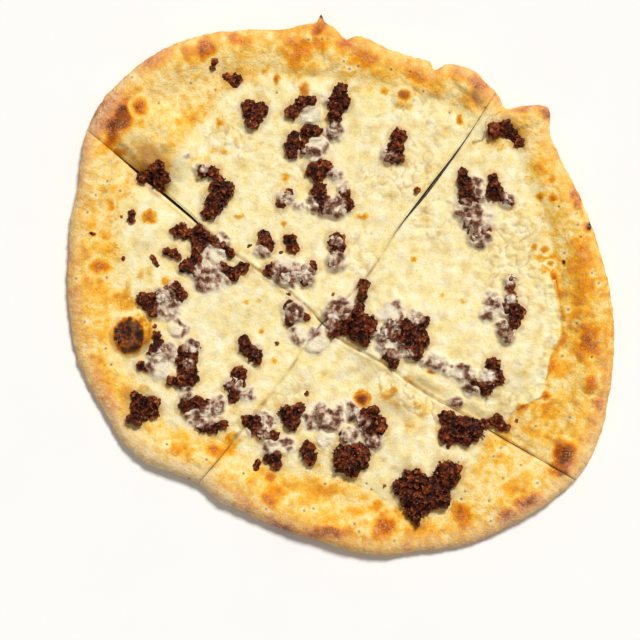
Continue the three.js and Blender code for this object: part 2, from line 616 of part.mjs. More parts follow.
function build() {
  const group = new THREE.Group();
  const names = Object.keys(SLICES);
  for (const name of names) {
    group.add(toMesh(`bread_${name}`, breadSolid(name), COLOURS.bread, 0.75));
    group.add(toMesh(`cheese_${name}`, cheeseSolid(name), COLOURS.cheese, 0.4));
  }
  for (const [name, solid] of Object.entries(clumpSolids(wholeGround(names)))) {
    group.add(toMesh(name, solid, COLOURS.sujuk, 0.6));
  }
  return centred(group);
}

export default build();
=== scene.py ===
# Cheese and sujuk manakish: a round hand-stretched flatbread under melted cheese and crumbled
# sujuk, cut into four slices that keep the shape of the whole.
# The plan is in millimetres from a point by the middle of the bread, and bearings are in degrees,
# counterclockwise from +X. Finished meshes are in metres, from the middle of the bread.
import itertools
import math
import random
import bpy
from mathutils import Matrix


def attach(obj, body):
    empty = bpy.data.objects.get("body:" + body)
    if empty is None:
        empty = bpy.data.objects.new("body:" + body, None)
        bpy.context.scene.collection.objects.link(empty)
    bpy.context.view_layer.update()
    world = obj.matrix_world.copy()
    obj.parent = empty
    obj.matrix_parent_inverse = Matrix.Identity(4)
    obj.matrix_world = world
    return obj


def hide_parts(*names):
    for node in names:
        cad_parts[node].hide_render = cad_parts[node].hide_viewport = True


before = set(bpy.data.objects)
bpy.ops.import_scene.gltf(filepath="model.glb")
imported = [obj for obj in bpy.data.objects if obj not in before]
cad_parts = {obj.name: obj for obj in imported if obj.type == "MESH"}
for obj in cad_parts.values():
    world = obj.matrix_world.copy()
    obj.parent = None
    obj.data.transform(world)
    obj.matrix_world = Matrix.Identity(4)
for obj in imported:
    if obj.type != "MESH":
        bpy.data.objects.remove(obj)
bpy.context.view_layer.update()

from types import SimpleNamespace

import bmesh
import bpy
import numpy as np
from mathutils import Euler, Matrix, Vector

# Sizes

MM = 0.001
MIDDLE = (0.396, 0.267)  # of the whole bread's box in the plan, where the model has its origin
CROSSING = (-9.5, -18.5)  # where the cuts meet
CRUMB_THICKNESS = 6.5  # bread under the cheese
CREST_HEIGHT = 11.5
CREST_INSET = 8  # from the outer edge to the top of the rim
RIM_WIDTH = 25  # from the outer edge to where the rim has flattened out
CHEESE_THICKNESS = 2.0
CHEESE_EDGE = -0.15  # the cheese thins out to this height over the dough, so its edge dips into it
CHEESE_FADE = 11  # over this distance from its edge
UNDER_CHEESE = 0.4  # how far the top of the bread is lowered where the cheese hides it
CUT_ROUNDING = 1.5  # how far from a cut the surface starts to bend down
BREAD_DROP, CHEESE_DROP = 0.8, 0.9  # how far it has bent down at the cut
CUT_LIP = 0.35  # how far the surface is raised along a cut
CUT_CLOSES = 0.28  # the soft sides of a cut sag towards each other by this
NARROWEST_CUT = 0.12
TIP_SET_BACK = 0.4  # of each slice's tip from the crossing
BREAD_UNDERLAP = 6  # how far the coarse middle of the bread stays inside the edge of the cheese
FOOT_INSET = 3  # from the outer edge to the edge of the underside
UNDER_LAYER = 0.3  # how far the underside of the cheese lies below the baked surface
TIP_ZONE = 8  # nearer to the crossing than this, a slice narrows straight to its tip
CLUMP_SINKS = 0.3  # how deep a clump's foot lies in what carries it
BLISTER_BROWN, BLISTER_RING = 1.7, 2.2  # reach of a blister's browning and of the pale ring round it
PRICK_RADIUS, PRICK_PALE_RADIUS = 1, 3.2  # of the hole and of the paler dough round it
PRICK_DEPTH, TEAR_DEPTH = 0.6, 1.5
PUFFED = 1.3  # rise of the dough just outside the cheese
FOLD_LIP_RISE, FOLD_LIP_AT, FOLD_DEPTH = 1, 2.8, 0.9  # of the fold round the right slice's cheese
FILM_RISE, VEIL_RISE, POOL_RISE = 0.8, 2.4, 1.7  # of cheese that has run over the sujuk or between it
FILM_ON_CLUMP = 0.3  # thickness of the film where it lies on a clump
FILM_CORE, POOL_CORE = 0.25, 0.45  # share of a patch that has its full strength
FILM_ON_CHEESE, FILM_ON_SUJUK, MILKY_FILM = 1.35, 1.4, 1.6  # factors on the reach of a film

# Distance from the crossing to the outer edge, one value every 7.5 degrees from +X
RIM_REACH = np.array([
    154.5, 153, 152, 152, 152.5, 155, 161, 154,
    156, 150.5, 149.5, 154, 159.5, 157.5, 161, 165.5,
    168, 167.5, 165.5, 159, 149, 144, 139, 136,
    133, 131, 127.5, 124, 123, 119.5, 112, 107,
    108.5, 108, 109.5, 112, 115.5, 121.5, 127, 130.5,
    137, 142.5, 147.5, 153.5, 158.5, 159, 157, 155.5,
])

# Distance from the crossing to the edge of the cheese, one value every 15 degrees from +X
CHEESE_REACH = np.array([
    126, 129, 136, 144, 136, 134, 132.5, 138,
    128, 118, 128, 114, 110.5, 108.5, 101, 88,
    81, 82.5, 82, 93, 122, 112, 109, 122.0,
])

# Nicks and tips of the outer edge: bearing, half width in degrees, how far they stand out
EDGE_FEATURES = [(43.3, 2.0, 5), (49.4, 2.2, -7), (66.0, 1.1, -4), (85.4, 1.8, -5), (90.2, 0.5, 4.2)]

# The cuts: bearing and opening at each CUT_STEP of distance from the crossing
CUT_STEP = 30
CUTS = {
    "lower_right": ([-48, -34.6, -34.3, -32.9, -32.4, -31.8], [0.4, 0.4, 0.5, 0.6, 0.6, 0.4]),
    "upper_right": ([45, 45.8, 50.8, 51.4, 51.9, 52.9], [0.4, 0.4, 0.5, 2.1, 1.0, 0.3]),
    "upper_left": ([131, 138, 142, 141, 140.7, 140.6], [0.4, 0.4, 0.5, 1.6, 1.8, 0.2]),
    "lower_left": ([231, 235.3, 233.4, 232.8, 231.8, 231], [0.4, 0.4, 0.4, 0.45, 0.5, 0.9]),
}

# The slices, each from its clockwise cut to its counterclockwise cut, with the turn past 360
SLICES = {
    "right": ("lower_right", "upper_right", 0),
    "top": ("upper_right", "upper_left", 0),
    "left": ("upper_left", "lower_left", 0),
    "bottom": ("lower_left", "lower_right", 360),
}

# The rim beyond its crest: inset from the outer edge, share of the crest's height
RIM_PROFILE = np.array([(8, 1), (3.5, 0.9), (0.8, 0.66), (0, 0.4), (0.9, 0.14), (3, 0)])

# Swellings of the dough: x, y, half lengths, turn of the long axis, rise
SWELLINGS = {
    "top": [
        (-99, 77, 28, 22, -30, 6), (-104, 97, 5, 6, 0, 1.5), (34, 101, 8, 7, 0, 1.5),
        (-12, 121, 18, 9, 10, 1.5), (68, 109, 11, 7, -30, 2), (74, 99, 9, 6, -70, -3),
    ],
    "left": [(-111, -24.5, 12.5, 13, 0, 6.5), (-128, 60, 10, 22, -12, 1.6), (-70, -88, 22, 10, -40, 1.5)],
    "bottom": [(60, -88, 75, 26, -32, 2.2), (-52, -108, 16, 9, -35, 1.5), (22, -127, 20, 9, -5, 1.4)],
    "right": [
        (132, -50, 6, 7, 0, 1.8), (125, -2, 9, 34, -4, 1.6), (100, 90, 13, 6, 15, 1.2),
        (118, -88, 12, 12, 0, 1.8),
    ],
}

# Where a slice dips towards a cut: the cut, from and to which distance from the crossing, depth, width
DIPS = {
    "top": [("upper_left", 98, 150, 5.5, 8)],
    "right": [("lower_right", 50, 138, 2.6, 8)],
    "left": [("upper_left", 90, 145, 1.5, 12)],
}

# Sujuk clumps: height, and round lobes as x, y, radius
CLUMPS = {
    "top_chip": (4, [(-60, 112, 2.8), (-55.5, 111, 4), (-56, 109, 3)]),
    "top_trefoil": (7, [(-48, 95.5, 4.6), (-41.5, 94.5, 4.3), (-46.5, 88, 4.7), (-43.5, 91.5, 4.3)]),
    "top_cut_knob": (7, [(-104.5, 58.5, 3.6), (-96.5, 63.5, 4.6), (-94.5, 59, 5.4), (-96, 54, 4.1)]),
    "top_hook": (8, [
        (-72.5, 61.5, 3.7), (-67, 61.5, 3.8), (-61, 52.5, 5.8), (-66, 46.5, 6.8), (-69, 40, 4.8),
    ]),
    "top_arc": (6, [(-20, 98, 4.4), (-25.5, 93, 4.2), (-15, 99.5, 3.2)]),
    "top_pillar": (9, [(0.5, 105, 4.3), (-2, 98, 5.3), (2.5, 98, 3.8), (-3, 91, 4.3), (-3, 83.5, 3.2)]),
    "top_block": (7, [(-24.5, 80.5, 3.3), (-25, 76, 4.8), (-25.5, 71.5, 3.4)]),
    "top_heel": (6.5, [(-17, 83, 4.3), (-12.5, 83, 3.8), (-19, 73.5, 3.3)]),
    "top_bun": (7.5, [(-14, 63, 4.8), (-9.5, 64, 4.8), (-11.5, 60, 4.3), (-6.5, 64, 3.2)]),
    "top_ridge": (6.5, [(-11, 52, 4.8), (-9, 43, 4.8), (-3.5, 41.5, 4), (3, 49.5, 3.8), (3.5, 44.5, 4.3)]),
    "top_dusk": (4.5, [(-27, 50, 3.2), (-31, 45.5, 3.8)]),
    "top_lone": (7.5, [(31, 80.5, 4.8), (30, 75, 4.8), (26.5, 69.5, 4.2), (30.5, 69.5, 4.2)]),
    "top_button": (5.5, [(-40, 27, 4.3), (-38, 22.5, 4.3)]),
    "top_bead": (5.5, [(-26.5, 25.5, 3.9), (-25, 21.5, 3.8)]),
    "top_smear": (6, [
        (-36.5, 9.5, 4.4), (-30, 7, 5.3), (-23.5, 7.5, 3.7), (-14.5, 11.5, 3.3), (-17.5, 4.5, 3.8),
    ]),
    "top_pea": (5.5, [(-2, 25.5, 5.2), (-0.5, 21, 3.8), (-3.5, 13, 3.6)]),
    "centre_main": (9, [
        (13, 2, 3.6), (11.5, -4.5, 3.2), (9.5, -14.5, 5.2), (14, -20, 7), (8.5, -23.5, 5.3), (12.5, -28, 3.4),
    ]),
    "centre_shade": (6, [(-5, -15.5, 3.8), (-2, -20.5, 4), (-4, -24, 3), (3, -16.5, 4.6), (2, -22, 3.6)]),
    "left_speck": (4.5, [(-83.5, 30.5, 4.7), (-86.5, 29.5, 3.2)]),
    "left_chain": (6.5, [
        (-79.5, 29, 3), (-74, 30.5, 3.7), (-75, 22.5, 4.3), (-67.5, 25.5, 3.3), (-62, 22, 3.2),
        (-58, 18.5, 3.2),
    ]),
    "left_elbow": (6.5, [(-76, 15.5, 3.8), (-82, 11.5, 3.8), (-76, 9, 3.8)]),
    "left_bar": (6.5, [(-62.5, 11, 3.8), (-56.5, 7.5, 4.3), (-51, 11, 3.8)]),
    "left_seed": (4.5, [(-91.5, 19.5, 2.8), (-88.5, 18.5, 3.2), (-85.5, 16.5, 2.2)]),
    "left_raft": (7, [
        (-105, -5.5, 3.8), (-99, -12.5, 3.8), (-95.5, -4.5, 4.3), (-87, 0.5, 3.8), (-84, -3.5, 3.8),
    ]),
    "left_pebble": (6, [(-97, -25, 2.6), (-97.5, -32.5, 5.2), (-92, -32.5, 3.8)]),
    "left_wedge": (4, [(-105.5, -41, 3), (-102, -42.5, 2.3)]),
    "left_spine": (6.5, [
        (-77.5, -31, 4.2), (-83, -33, 3.6), (-79, -37, 4.8), (-84, -38, 3.6), (-79.5, -46.5, 5.6),
        (-83.5, -49.5, 4.2), (-89.5, -49, 3),
    ]),
    "left_twig": (5, [(-53, -45, 4.6), (-57.5, -52, 4.4), (-56, -57.5, 3.8), (-52, -51, 3.2)]),
    "left_knot": (6.5, [(-50.5, -28, 3.6), (-49.5, -31.5, 4.6), (-45.5, -34.5, 4.8), (-43.5, -38.5, 2.8)]),
    "left_crumble": (5.5, [(-26.5, -10.5, 4.3), (-23, -13, 3.8), (-18, -15.5, 2.4), (-26.5, -17.5, 3.3)]),
    "left_nugget": (9, [
        (-106.5, -61, 5), (-100, -61.5, 5.6), (-104, -65.5, 4.8), (-99, -65, 4.4), (-108.5, -56.5, 2.4),
        (-110.5, -69, 2.8), (-106.5, -71, 2.6),
    ]),
    "left_pair": (6.5, [(-81, -62, 5), (-75, -61, 4.8), (-72, -64, 3.6), (-65.5, -62, 3.4)]),
    "left_foot": (5, [(-72, -73.5, 4), (-67, -73.5, 4.2), (-62, -72, 3.2)]),
    "right_corner": (5.5, [(82, 83.5, 5.2), (88, 86, 4.3), (91, 82.5, 3.8), (95, 77.5, 3.7)]),
    "right_post": (7, [(65, 61, 3), (65.5, 57, 4), (66.5, 52, 4.8), (67, 47, 5), (72, 48.5, 3.8)]),
    "right_flank": (7, [(81, 58.5, 3), (81.5, 54.5, 4), (80.5, 50, 4.6), (86, 48.5, 3.6), (90, 45.5, 2.8)]),
    "right_haze": (5.5, [(68, 35, 3.8), (76, 31, 4.8), (72, 27.5, 4.2)]),
    "right_spur": (5.5, [(90.5, 5, 2.7), (90, 1, 3.2)]),
    "right_island": (7, [
        (90.5, -5, 3.6), (89.5, -10.5, 4.8), (93.5, -13, 4.8), (92, -18.5, 3.8), (88, -26, 3.3),
    ]),
    "right_mound": (8.5, [
        (28, -18.5, 3.3), (24, -24, 3.6), (36, -19.5, 4.3), (44.5, -17.5, 3.2), (42, -27.5, 5.8),
        (33.5, -28, 3.8), (40, -34, 4.8),
    ]),
    "right_toe": (6.5, [(25.5, -36, 3.2), (28.5, -39.5, 3.7)]),
    "right_shoulder": (7, [(81, -41, 4.8), (83, -47.5, 4.8), (77.5, -53, 4.3), (70.5, -50, 2.8)]),
    "bottom_slab": (8, [
        (56.5, -68.5, 4.8), (58, -77, 6.4), (65.5, -72.5, 6.2), (71.5, -75, 6.2), (67, -80.5, 3.8),
        (76, -72, 3.4),
    ]),
    "right_claw": (5.5, [(80, -70.5, 2.8), (83.5, -69, 3.3), (85.5, -72.5, 3.2), (88.5, -73.5, 2.2)]),
    "bottom_heart": (9.5, [
        (32.5, -105, 5.3), (38.7, -101.5, 7), (57, -97.5, 8.2), (47.5, -108, 8.2), (52.5, -110.5, 6.8),
        (44.5, -112.5, 7.4), (37, -110.5, 6.3), (38.5, -117.5, 4.8), (40, -121.5, 3), (41, -124.5, 1.6),
    ]),
    "bottom_boulder": (8, [
        (2, -88.5, 6.5), (10.5, -87.5, 6.3), (1, -93, 4.8), (6, -95, 5.2), (11.5, -91.5, 4.5),
    ]),
    "bottom_crescent": (7.5, [
        (8, -66, 3.4), (13, -69.5, 4.8), (17.5, -65, 3.8), (20, -73, 5.3), (17.5, -81, 4.6),
    ]),
    "bottom_thread": (4.5, [(-9.5, -67.5, 3.1), (-5.5, -71.5, 3.1), (2, -78, 3.4)]),
    "bottom_marble": (6.5, [(-17.5, -84.5, 4.3), (-16, -89.5, 4.7)]),
    "bottom_west": (6, [
        (-49, -70, 3.7), (-44, -69, 2.8), (-45, -74.5, 3.2), (-40.5, -77, 4.2), (-35, -78, 3.7),
    ]),
    "bottom_low": (6, [(-37.5, -89.5, 3.7), (-33.5, -93, 3.7), (-33, -88, 2.8)]),
    "bottom_lump": (7.5, [(-27.5, -66.5, 5.8), (-21.5, -63.5, 3.7), (-25.5, -71.5, 4.8)]),
}

# Loose crumbs of sujuk: x, y, half lengths, turn of the long axis
CRUMBS = [
    (-67, 118.5, 3.7, 1.9, 70), (-110, 38, 4, 2.5, 80), (-98, 14.5, 4.2, 1.4, -55), (41, 52, 2.7, 2.1, 20),
    (-48, 22.5, 1.2, 1.1, 0), (-31.5, 19, 1.6, 1.1, 60), (-3.5, -3, 1.2, 1.1, 0), (-27.5, -3, 1.2, 1, 0),
    (-33.5, -29, 1.6, 1.1, 20), (61, -59, 1.2, 1, 0), (93.5, -70, 1.3, 1, 0), (23.5, -104.5, 1.2, 1.1, 0),
    (-44, -93.5, 3.7, 2.2, 75), (82, -80.5, 1.2, 1, 0), (-17.5, -55.5, 2.1, 1.6, 10),
    (-115.5, 38, 0.9, 0.8, 0), (-114.5, 16, 0.9, 0.8, 0), (57, -84, 1.1, 0.9, 0), (-98, -20, 1.3, 1, 0),
    (80, -83, 0.9, 0.8, 0),
]

# Where melted cheese has run over the sujuk: x, y, reach, strength
FILMS = [
    (-11.5, 74.5, 6, 0.9), (0, -11.5, 8, 0.9), (-93, -4.5, 5.5, 0.9), (-78.5, -31, 5.5, 0.8),
    (-85, -22, 6, 0.8), (-65, -61.5, 5, 0.9), (-71.5, -68.5, 6.5, 1), (-67, 18, 6, 1), (-70.5, 11, 5, 0.8),
    (-63.5, 4.5, 5, 0.7), (74, 50, 4.5, 0.8), (88.5, 47, 4.5, 0.8), (73, 36, 9, 0.95), (74, 26.5, 6, 0.8),
    (79.5, -12.5, 5.5, 0.8), (88, -26, 5, 0.7), (28, -18.5, 5, 0.8), (29.5, -32.5, 6, 0.9),
    (78.5, -47, 5, 0.9), (17.5, -81, 5.5, 0.8), (-39, -68.5, 4.5, 0.6), (-29, -83, 5.5, 0.8),
    (-16, 92, 4.5, 1), (-21, 44.5, 4, 0.5), (-4, 43, 7, 0.7), (-28, 8, 9, 0.85), (-17, 7, 6, 0.8),
    (-1.5, 14, 6, 1), (-2, 25, 5, 0.5), (-29, 48, 5, 0.6), (25, 70, 4.5, 0.7), (30, 69, 3.5, 0.5),
    (-73, 63, 4.5, 0.7), (-5, -20, 4.5, 0.7), (-55.5, -51, 6, 0.6), (-44, -30, 4, 0.5), (-24, -13, 6.5, 0.95),
    (81.5, -7, 5.5, 0.9), (90, 4, 4.5, 0.6), (90.5, -5.5, 3.6, 1), (87, -12, 5, 0.5), (-7, -69, 7, 0.9),
    (-40, -77, 5, 0.6), (-13, -28, 8, 0.6), (-23, -26, 6, 0.7), (12, -76, 4, 0.5), (-8, 101, 3.5, 0.4),
    (-66, 8, 7, 0.7), (-88, 1, 4, 0.5), (-48, -56, 6, 0.5), (-80, -40, 4, 0.6), (-21, 72, 3, 0.4),
    (-5, 60, 3.5, 0.4), (2, 53, 4, 0.5), (-96.7, -40, 7, 1), (-91, -34.5, 6, 1), (-80.5, -55, 4.5, 0.9),
    (-77.5, -68.5, 6, 1), (-66, -63, 5.5, 0.9), (-50.5, -77, 4, 0.4), (-38, -70, 5, 0.8),
    (-37, -84, 4.5, 0.9), (-11.5, -68.5, 8, 1), (3, -65, 6.5, 1), (-4.5, -71, 6, 1), (-5, -13.5, 5, 0.8),
    (-93, -12, 5.5, 0.9), (22, -25, 5.5, 1), (30.5, -34.5, 3.6, 0.9), (29, -20, 4.5, 0.8),
    (51.5, -40, 5, 0.9), (46, -39, 4, 0.7), (57, -42, 4, 0.7), (65, -45, 6.5, 1), (69, -54, 4.5, 0.8),
    (61, -60.5, 4, 0.7), (89, -25, 4.5, 0.8), (67.5, 41, 7, 0.9), (74, 27, 6, 0.9), (73, 56, 4.5, 0.8),
    (85.5, -21, 5, 0.8), (78.5, -13.5, 5, 0.9), (-2.5, 83.5, 6, 0.9), (-15, 72, 5.5, 0.8), (-2.5, 60, 5, 0.8),
    (-2.5, 43, 7, 0.9), (-15, 44.5, 4.5, 0.7), (-70, 5.5, 9, 1), (-62, 25, 5, 0.6), (-41.5, 19, 4.5, 0.7),
    (-30, 9, 7, 0.9), (29, -12, 6, 1), (41, -16, 5, 0.9), (24, -29, 6, 1), (35.5, -35.5, 4, 0.8),
    (-18, 8, 5.5, 0.9), (-89.5, -10, 6.5, 0.9), (12, -70, 5, 0.7), (-82, 71, 3, 0.7), (5, -78, 5, 0.9),
    (7, -65, 4.5, 0.9),
]

# White pools of melted cheese between the clumps: x, y, half lengths, turn, strength
POOLS = [
    (-16, 91, 8, 5.5, 18, 1), (-12.5, 78, 6.5, 5, -20, 1), (-65, 17, 7.5, 5, -10, 1),
    (25, -13.5, 9.5, 5.5, 0, 1), (27.5, -30, 4, 3.4, 20, 1), (-94, -44, 6, 7, 30, 0.8),
    (-71, -68, 5, 3, -20, 0.4), (-88, -22, 5, 5, 0, 0.7), (-34, -84, 4.5, 4, 0, 0.7), (-9, -80, 6, 5, 0, 0.8),
    (60, -45, 6, 3.5, -10, 0.8), (76, -46, 5, 4, 0, 0.9), (83, -14, 4.5, 5, 0, 0.8),
    (-30, 14, 5, 3.5, 0, 0.7), (-12, -30, 8, 5, 20, 0.8),
]

# Blisters of the dough and the cheese: x, y, half lengths, rise, browning
BLISTERS = [
    (-106, 96.2, 3.4, 4.2, 0.5, 0.52), (132.5, -50.5, 3.4, 4.8, 0.9, 0.44), (34, 102, 2.9, 2.9, 0.5, 0.55),
    (34.5, 97, 4.4, 3.2, 0.5, 0.22), (24, 105, 3.8, 3, 0.7, 0.24), (-18.5, 105, 2.7, 3.7, 0.5, 0.44),
    (-33.5, 111, 2, 3, 0.3, 0.48), (-40, 115.5, 1.6, 1.6, 0.3, 0.3), (63, 89, 2.1, 2.7, 0.3, 0.45),
    (-29, 58.5, 3, 2.5, 0.2, 0.3), (-29.5, 34.5, 2.1, 2.1, 0.2, 0.34), (12.5, 38.5, 3.2, 1.9, 0.3, 0.36),
    (-43, -7, 1.6, 1.6, 0.2, 0.28), (-50, -7, 1.6, 1.6, 0.2, 0.22), (-41.5, -23, 1.8, 1.8, 0.2, 0.32),
    (-34.5, -38.5, 1.8, 1.6, 0.2, 0.24), (39, 16, 1.8, 1.6, 0.2, 0.3), (54.5, -3.5, 1.6, 1.6, 0.1, 0.2),
    (65, -7, 2.2, 1.4, 0.1, 0.22), (11.7, -58.6, 3.9, 4.1, 0.7, 0.72), (112.5, 47.5, 2.3, 2.3, 0.6, 0.42),
    (106, 48.5, 2.3, 2.1, 0.5, 0.4), (112, 57.5, 1.8, 2.1, 0.4, 0.36), (103, 21.5, 2.3, 2.1, 0.4, 0.38),
    (109, 20.5, 2.3, 2.1, 0.4, 0.4), (111.5, 13, 1.8, 1.6, 0.3, 0.42), (118, 13.5, 1.1, 1.1, 0.1, 0.6),
    (131, 32, 2.2, 2.6, 0.3, 0.6), (-53, 38, 3.2, 1.8, 0.2, 0.28), (-63.5, 87, 2.3, 3.2, 0.3, 0.34),
    (-67, 73, 2.3, 2.1, 0.2, 0.24), (-61, 72.5, 2.1, 2.1, 0.2, 0.24), (-121, 44.5, 1.8, 3, 0.5, 0.32),
    (-101, 38, 3.8, 3.2, 0.5, 0.42), (-120.5, 35, 1.6, 1.6, 0.3, 0.26), (-131, 28.5, 1.2, 1.2, 0.1, 0.5),
    (-124.5, 28, 3.2, 2.6, 0.2, 0.26), (-127, 11.5, 4.8, 3.2, 0.2, 0.46), (-131.5, 33.5, 2.7, 2.7, 0.1, 0.2),
    (97, -62.5, 2.9, 2.1, 0.4, 0.5), (109, -57, 2.3, 2.1, 0.4, 0.5), (94.5, -65.5, 2.1, 2.1, 0.3, 0.3),
    (48.8, -43.5, 2.7, 2.2, 0.2, 0.66), (-56, 52, 1.5, 1.5, 0.1, 0.2), (-113, -56, 4.6, 4.2, 0.3, 0.26),
    (-92.5, 3.5, 2, 3, 0.2, 0.3), (55, 81, 3, 2.4, 0.3, 0.1), (20, 92, 3.4, 2.4, 0.4, 0.12),
]

# Browned patches of the crust: x, y, half lengths, turn, how much browner than round them
BROWNED = [
    (-117, 87, 8.5, 22, -28, 0.66), (-125, 92, 13, 20, -32, 0.3), (-71.5, 126.5, 7.2, 9.4, 15, 0.42),
    (-54, 131.5, 8.7, 5.2, 0, 0.27), (-98, 121, 13, 8.7, 30, 0.23), (-78, 124, 8.7, 6.5, 0, 0.19),
    (-21, 125.5, 11.6, 8.7, 30, 0.35), (-10.5, 129, 7.2, 5.8, 0, 0.3), (-10.5, 138.5, 7.2, 5.8, 0, 0.39),
    (2.5, 130, 8.7, 7.2, 0, 0.27), (13, 121, 10.9, 8, 0, 0.32), (41, 112, 8.7, 6.7, 0, 0.23),
    (72, 108.5, 11, 6, -30, 0.4), (62, 113, 10.2, 5.8, -15, 0.19), (108.5, 93.5, 7.2, 5.2, -10, 0.46),
    (98, 94.5, 13, 3.5, 5, 0.3), (125.5, 46, 3.5, 13, 10, 0.35), (127, 8, 9.4, 27.6, 3, 0.19),
    (130, -29, 9.4, 13.8, 0, 0.32), (137, -61, 4.3, 8.7, 0, 0.35), (111.5, -66.5, 9.4, 9.4, 0, 0.2),
    (119, -88, 9.4, 10.9, 20, 0.58), (117, -96, 7.3, 4.9, 0, 0.5), (99, -113, 9.4, 6.4, 30, 0.46),
    (107.5, 17.5, 9, 7, 0, 0.26), (117, -43, 7, 8, 30, 0.18), (118, -56, 9, 7, 0, 0.1),
    (72.5, 100, 3, 2.4, -40, 0.3), (88, -121, 8.7, 5.2, 25, 0.39), (91, -105, 7.2, 6.4, 0, 0.16),
    (88.5, -92.5, 8.7, 7, 0, 0.19), (64.5, -120, 6.4, 9.6, 15, 0.3), (23.5, -126, 8, 8.7, 0, 0.42),
    (19, -115, 6.4, 5.2, 0, 0.3), (9, -117, 10.2, 4.6, 0, 0.14), (-16, -107, 14.5, 10.2, -10, 0.19),
    (-37, -100.5, 5.2, 5.2, 0, 0.3), (-33.5, -107, 8.7, 5.2, -20, 0.23), (-36.5, -113, 5.2, 5.8, 0, 0.27),
    (-8, -130, 20.3, 4.9, 5, 0.39), (-30, -126, 13, 5.2, -20, 0.42), (-52, -112, 14.5, 5.8, -40, 0.27),
    (-65.5, -86.5, 7.2, 5.5, 0, 0.3), (-84.5, -77, 7, 4.9, 0, 0.2), (-57, -82.5, 10.2, 5.5, 50, 0.27),
    (-123, -27, 7.2, 14.5, 0, 0.09), (-124.5, -46, 7.2, 11.6, 20, 0.14), (33, -118, 5.8, 4.3, 0, 0.16),
    (55, -106, 5.1, 5.1, 0, 0.12), (-135, 19, 6, 13, 0, 0.07), (-128, 2, 8.7, 10.2, 0, 0.14),
    (111, 4, 7, 12, 0, 0.22), (104, -76, 12, 8, -20, 0.16), (-84, -85, 13, 6, -28, 0.24),
    (-122, -60, 7, 11, 25, 0.32), (-100, 70, 17, 7, -34, 0.24), (-117, 72, 5, 3, 0, 0.3),
    (4, -104, 16, 7, 10, 0.12), (-68, 62, 7.2, 7.2, 0, 0.06), (-106, 89, 5.8, 7.2, 0, 0.12),
    (127, 69, 3.6, 11.6, 20, 0.23), (31, 33, 4.3, 4.3, 0, 0.12), (37, -48.5, 6, 4, -30, 0.26),
    (61, -52, 11.6, 4.3, -30, 0.16), (26, -56, 9, 7, 0, 0.34), (33, -62, 12, 8, -30, 0.2),
    (42, -64, 10, 8, -20, 0.26), (37, -72, 11, 8, 0, 0.18), (-114, -6.5, 8.7, 10.2, 0, 0.23),
    (-133, 39, 5.8, 11.6, 0, 0.12),
]

# Charred places: x, y, half lengths, turn, strength
CHARRED = [
    (-111.3, -25, 9.3, 11.4, 0, 0.84), (-106.5, -22.5, 9, 10.5, 0, 0.25), (-9.8, 147, 2.6, 5, 0, 0.85),
    (131.5, 32.5, 1.9, 2.6, 0, 0.4), (118, 13.5, 0.8, 0.8, 0, 0.6), (-131, 28.5, 0.9, 0.9, 0, 0.5),
]

# Places where the relief is bubbly: x, y, half lengths, turn, strength
BUBBLY = [
    (92, 12, 22, 46, 6, 1), (30, 62, 34, 24, 20, 0.8), (50, 36, 24, 14, 50, 1), (12, 18, 22, 16, 30, 0.7),
    (76, -52, 34, 12, -35, 0.9), (34, -56, 38, 13, -33, 1), (-56, 78, 26, 16, -20, 0.7),
    (-34, 62, 24, 18, 0, 0.5), (-30, -60, 30, 12, 30, 0.6), (50, 92, 30, 16, -20, 0.7),
    (-94, 62, 14, 10, -40, 0.6), (-8, -84, 30, 8, 10, 0.7),
]

# Pricks of the docking fork: x, y
PRICKS = [
    (-110, 111.5), (-66, 105), (-79, 108.5), (-96, 98), (-123, 56.5), (-116.5, 51.5), (-129, 49),
    (-133.5, 40), (-123.5, 5.5), (-139.5, 5), (-135, -18), (-121, -40.5), (-124, -32), (-91.5, -82.5),
    (-70.5, -90.5), (-80, -100.5), (-51, -98), (-39, -116.5), (-19, -117.5), (-14, -116.5), (-8, -103.5),
    (14, -103.5), (16.5, -106.5), (7.5, -124.5), (10, -128.5), (28.5, -133.5), (64, -111.5), (66, -107.5),
    (78.5, -112.5), (79.5, -123), (86, -100.5), (95.5, -93.5), (81, -89), (85, -84.5), (103.5, -73),
    (121.5, -68.5), (104, -103), (-16.5, 131.5), (-9.5, 132), (2, 120), (5, 116), (9.5, 117.5), (27, 115.5),
    (37, 114.5), (-33.5, 103.5), (44, 104), (58, 93), (115.5, 43), (125, 39.5), (125.5, 33.5), (127, 27),
    (118.5, 18.5), (133, 8), (136.5, 2.5), (120.5, -11.5), (125, -18.5), (117.5, -36), (133, -36.5),
]

# Places with a dulled, brownish surface, many of them painted shade on slopes turned from the light, in
# hollows and along cuts: x, y, half lengths, turn, strength
DULL_AND_SHADE = [
    (-101, 71, 22, 10, -34, 1), (-95, 72.5, 10, 6, -10, 1), (-88, 66, 9, 8, 0, 0.5),
    (-104, 66, 10, 5, -40, 0.4), (74, 99, 9, 6, -70, 0.9), (88, 89, 8, 3, 10, 0.5),
    (30, -62, 20, 11, -25, 0.65), (42, -50, 14, 5, -25, 0.5), (14, -41, 16, 7, -35, 0.5),
    (-58, -16, 34, 20, 0, 0.16), (93, -68, 17, 6, -38, 0.45), (-52, -104, 8, 3, -35, 0.3),
    (-96, -92, 22, 4, -42, 0.3), (62, -50, 10, 4, -32, 0.5), (4, -44, 12, 5, 20, 0.3),
    (-104, 22, 10, 7, 20, 0.35), (-112, -56, 7, 7, 0, 0.5), (-40, 106, 12, 6, 20, 0.3),
    (10, 108, 9, 5, 0, 0.3), (94, -47, 8, 14, 10, 0.35), (-20, -52, 14, 5, 10, 0.3),
]

# Tears of the dough, as points along each
TEARS = [[(85, 93), (79.5, 90), (77, 88), (76.5, 83), (74.5, 78), (71, 76.5)]]

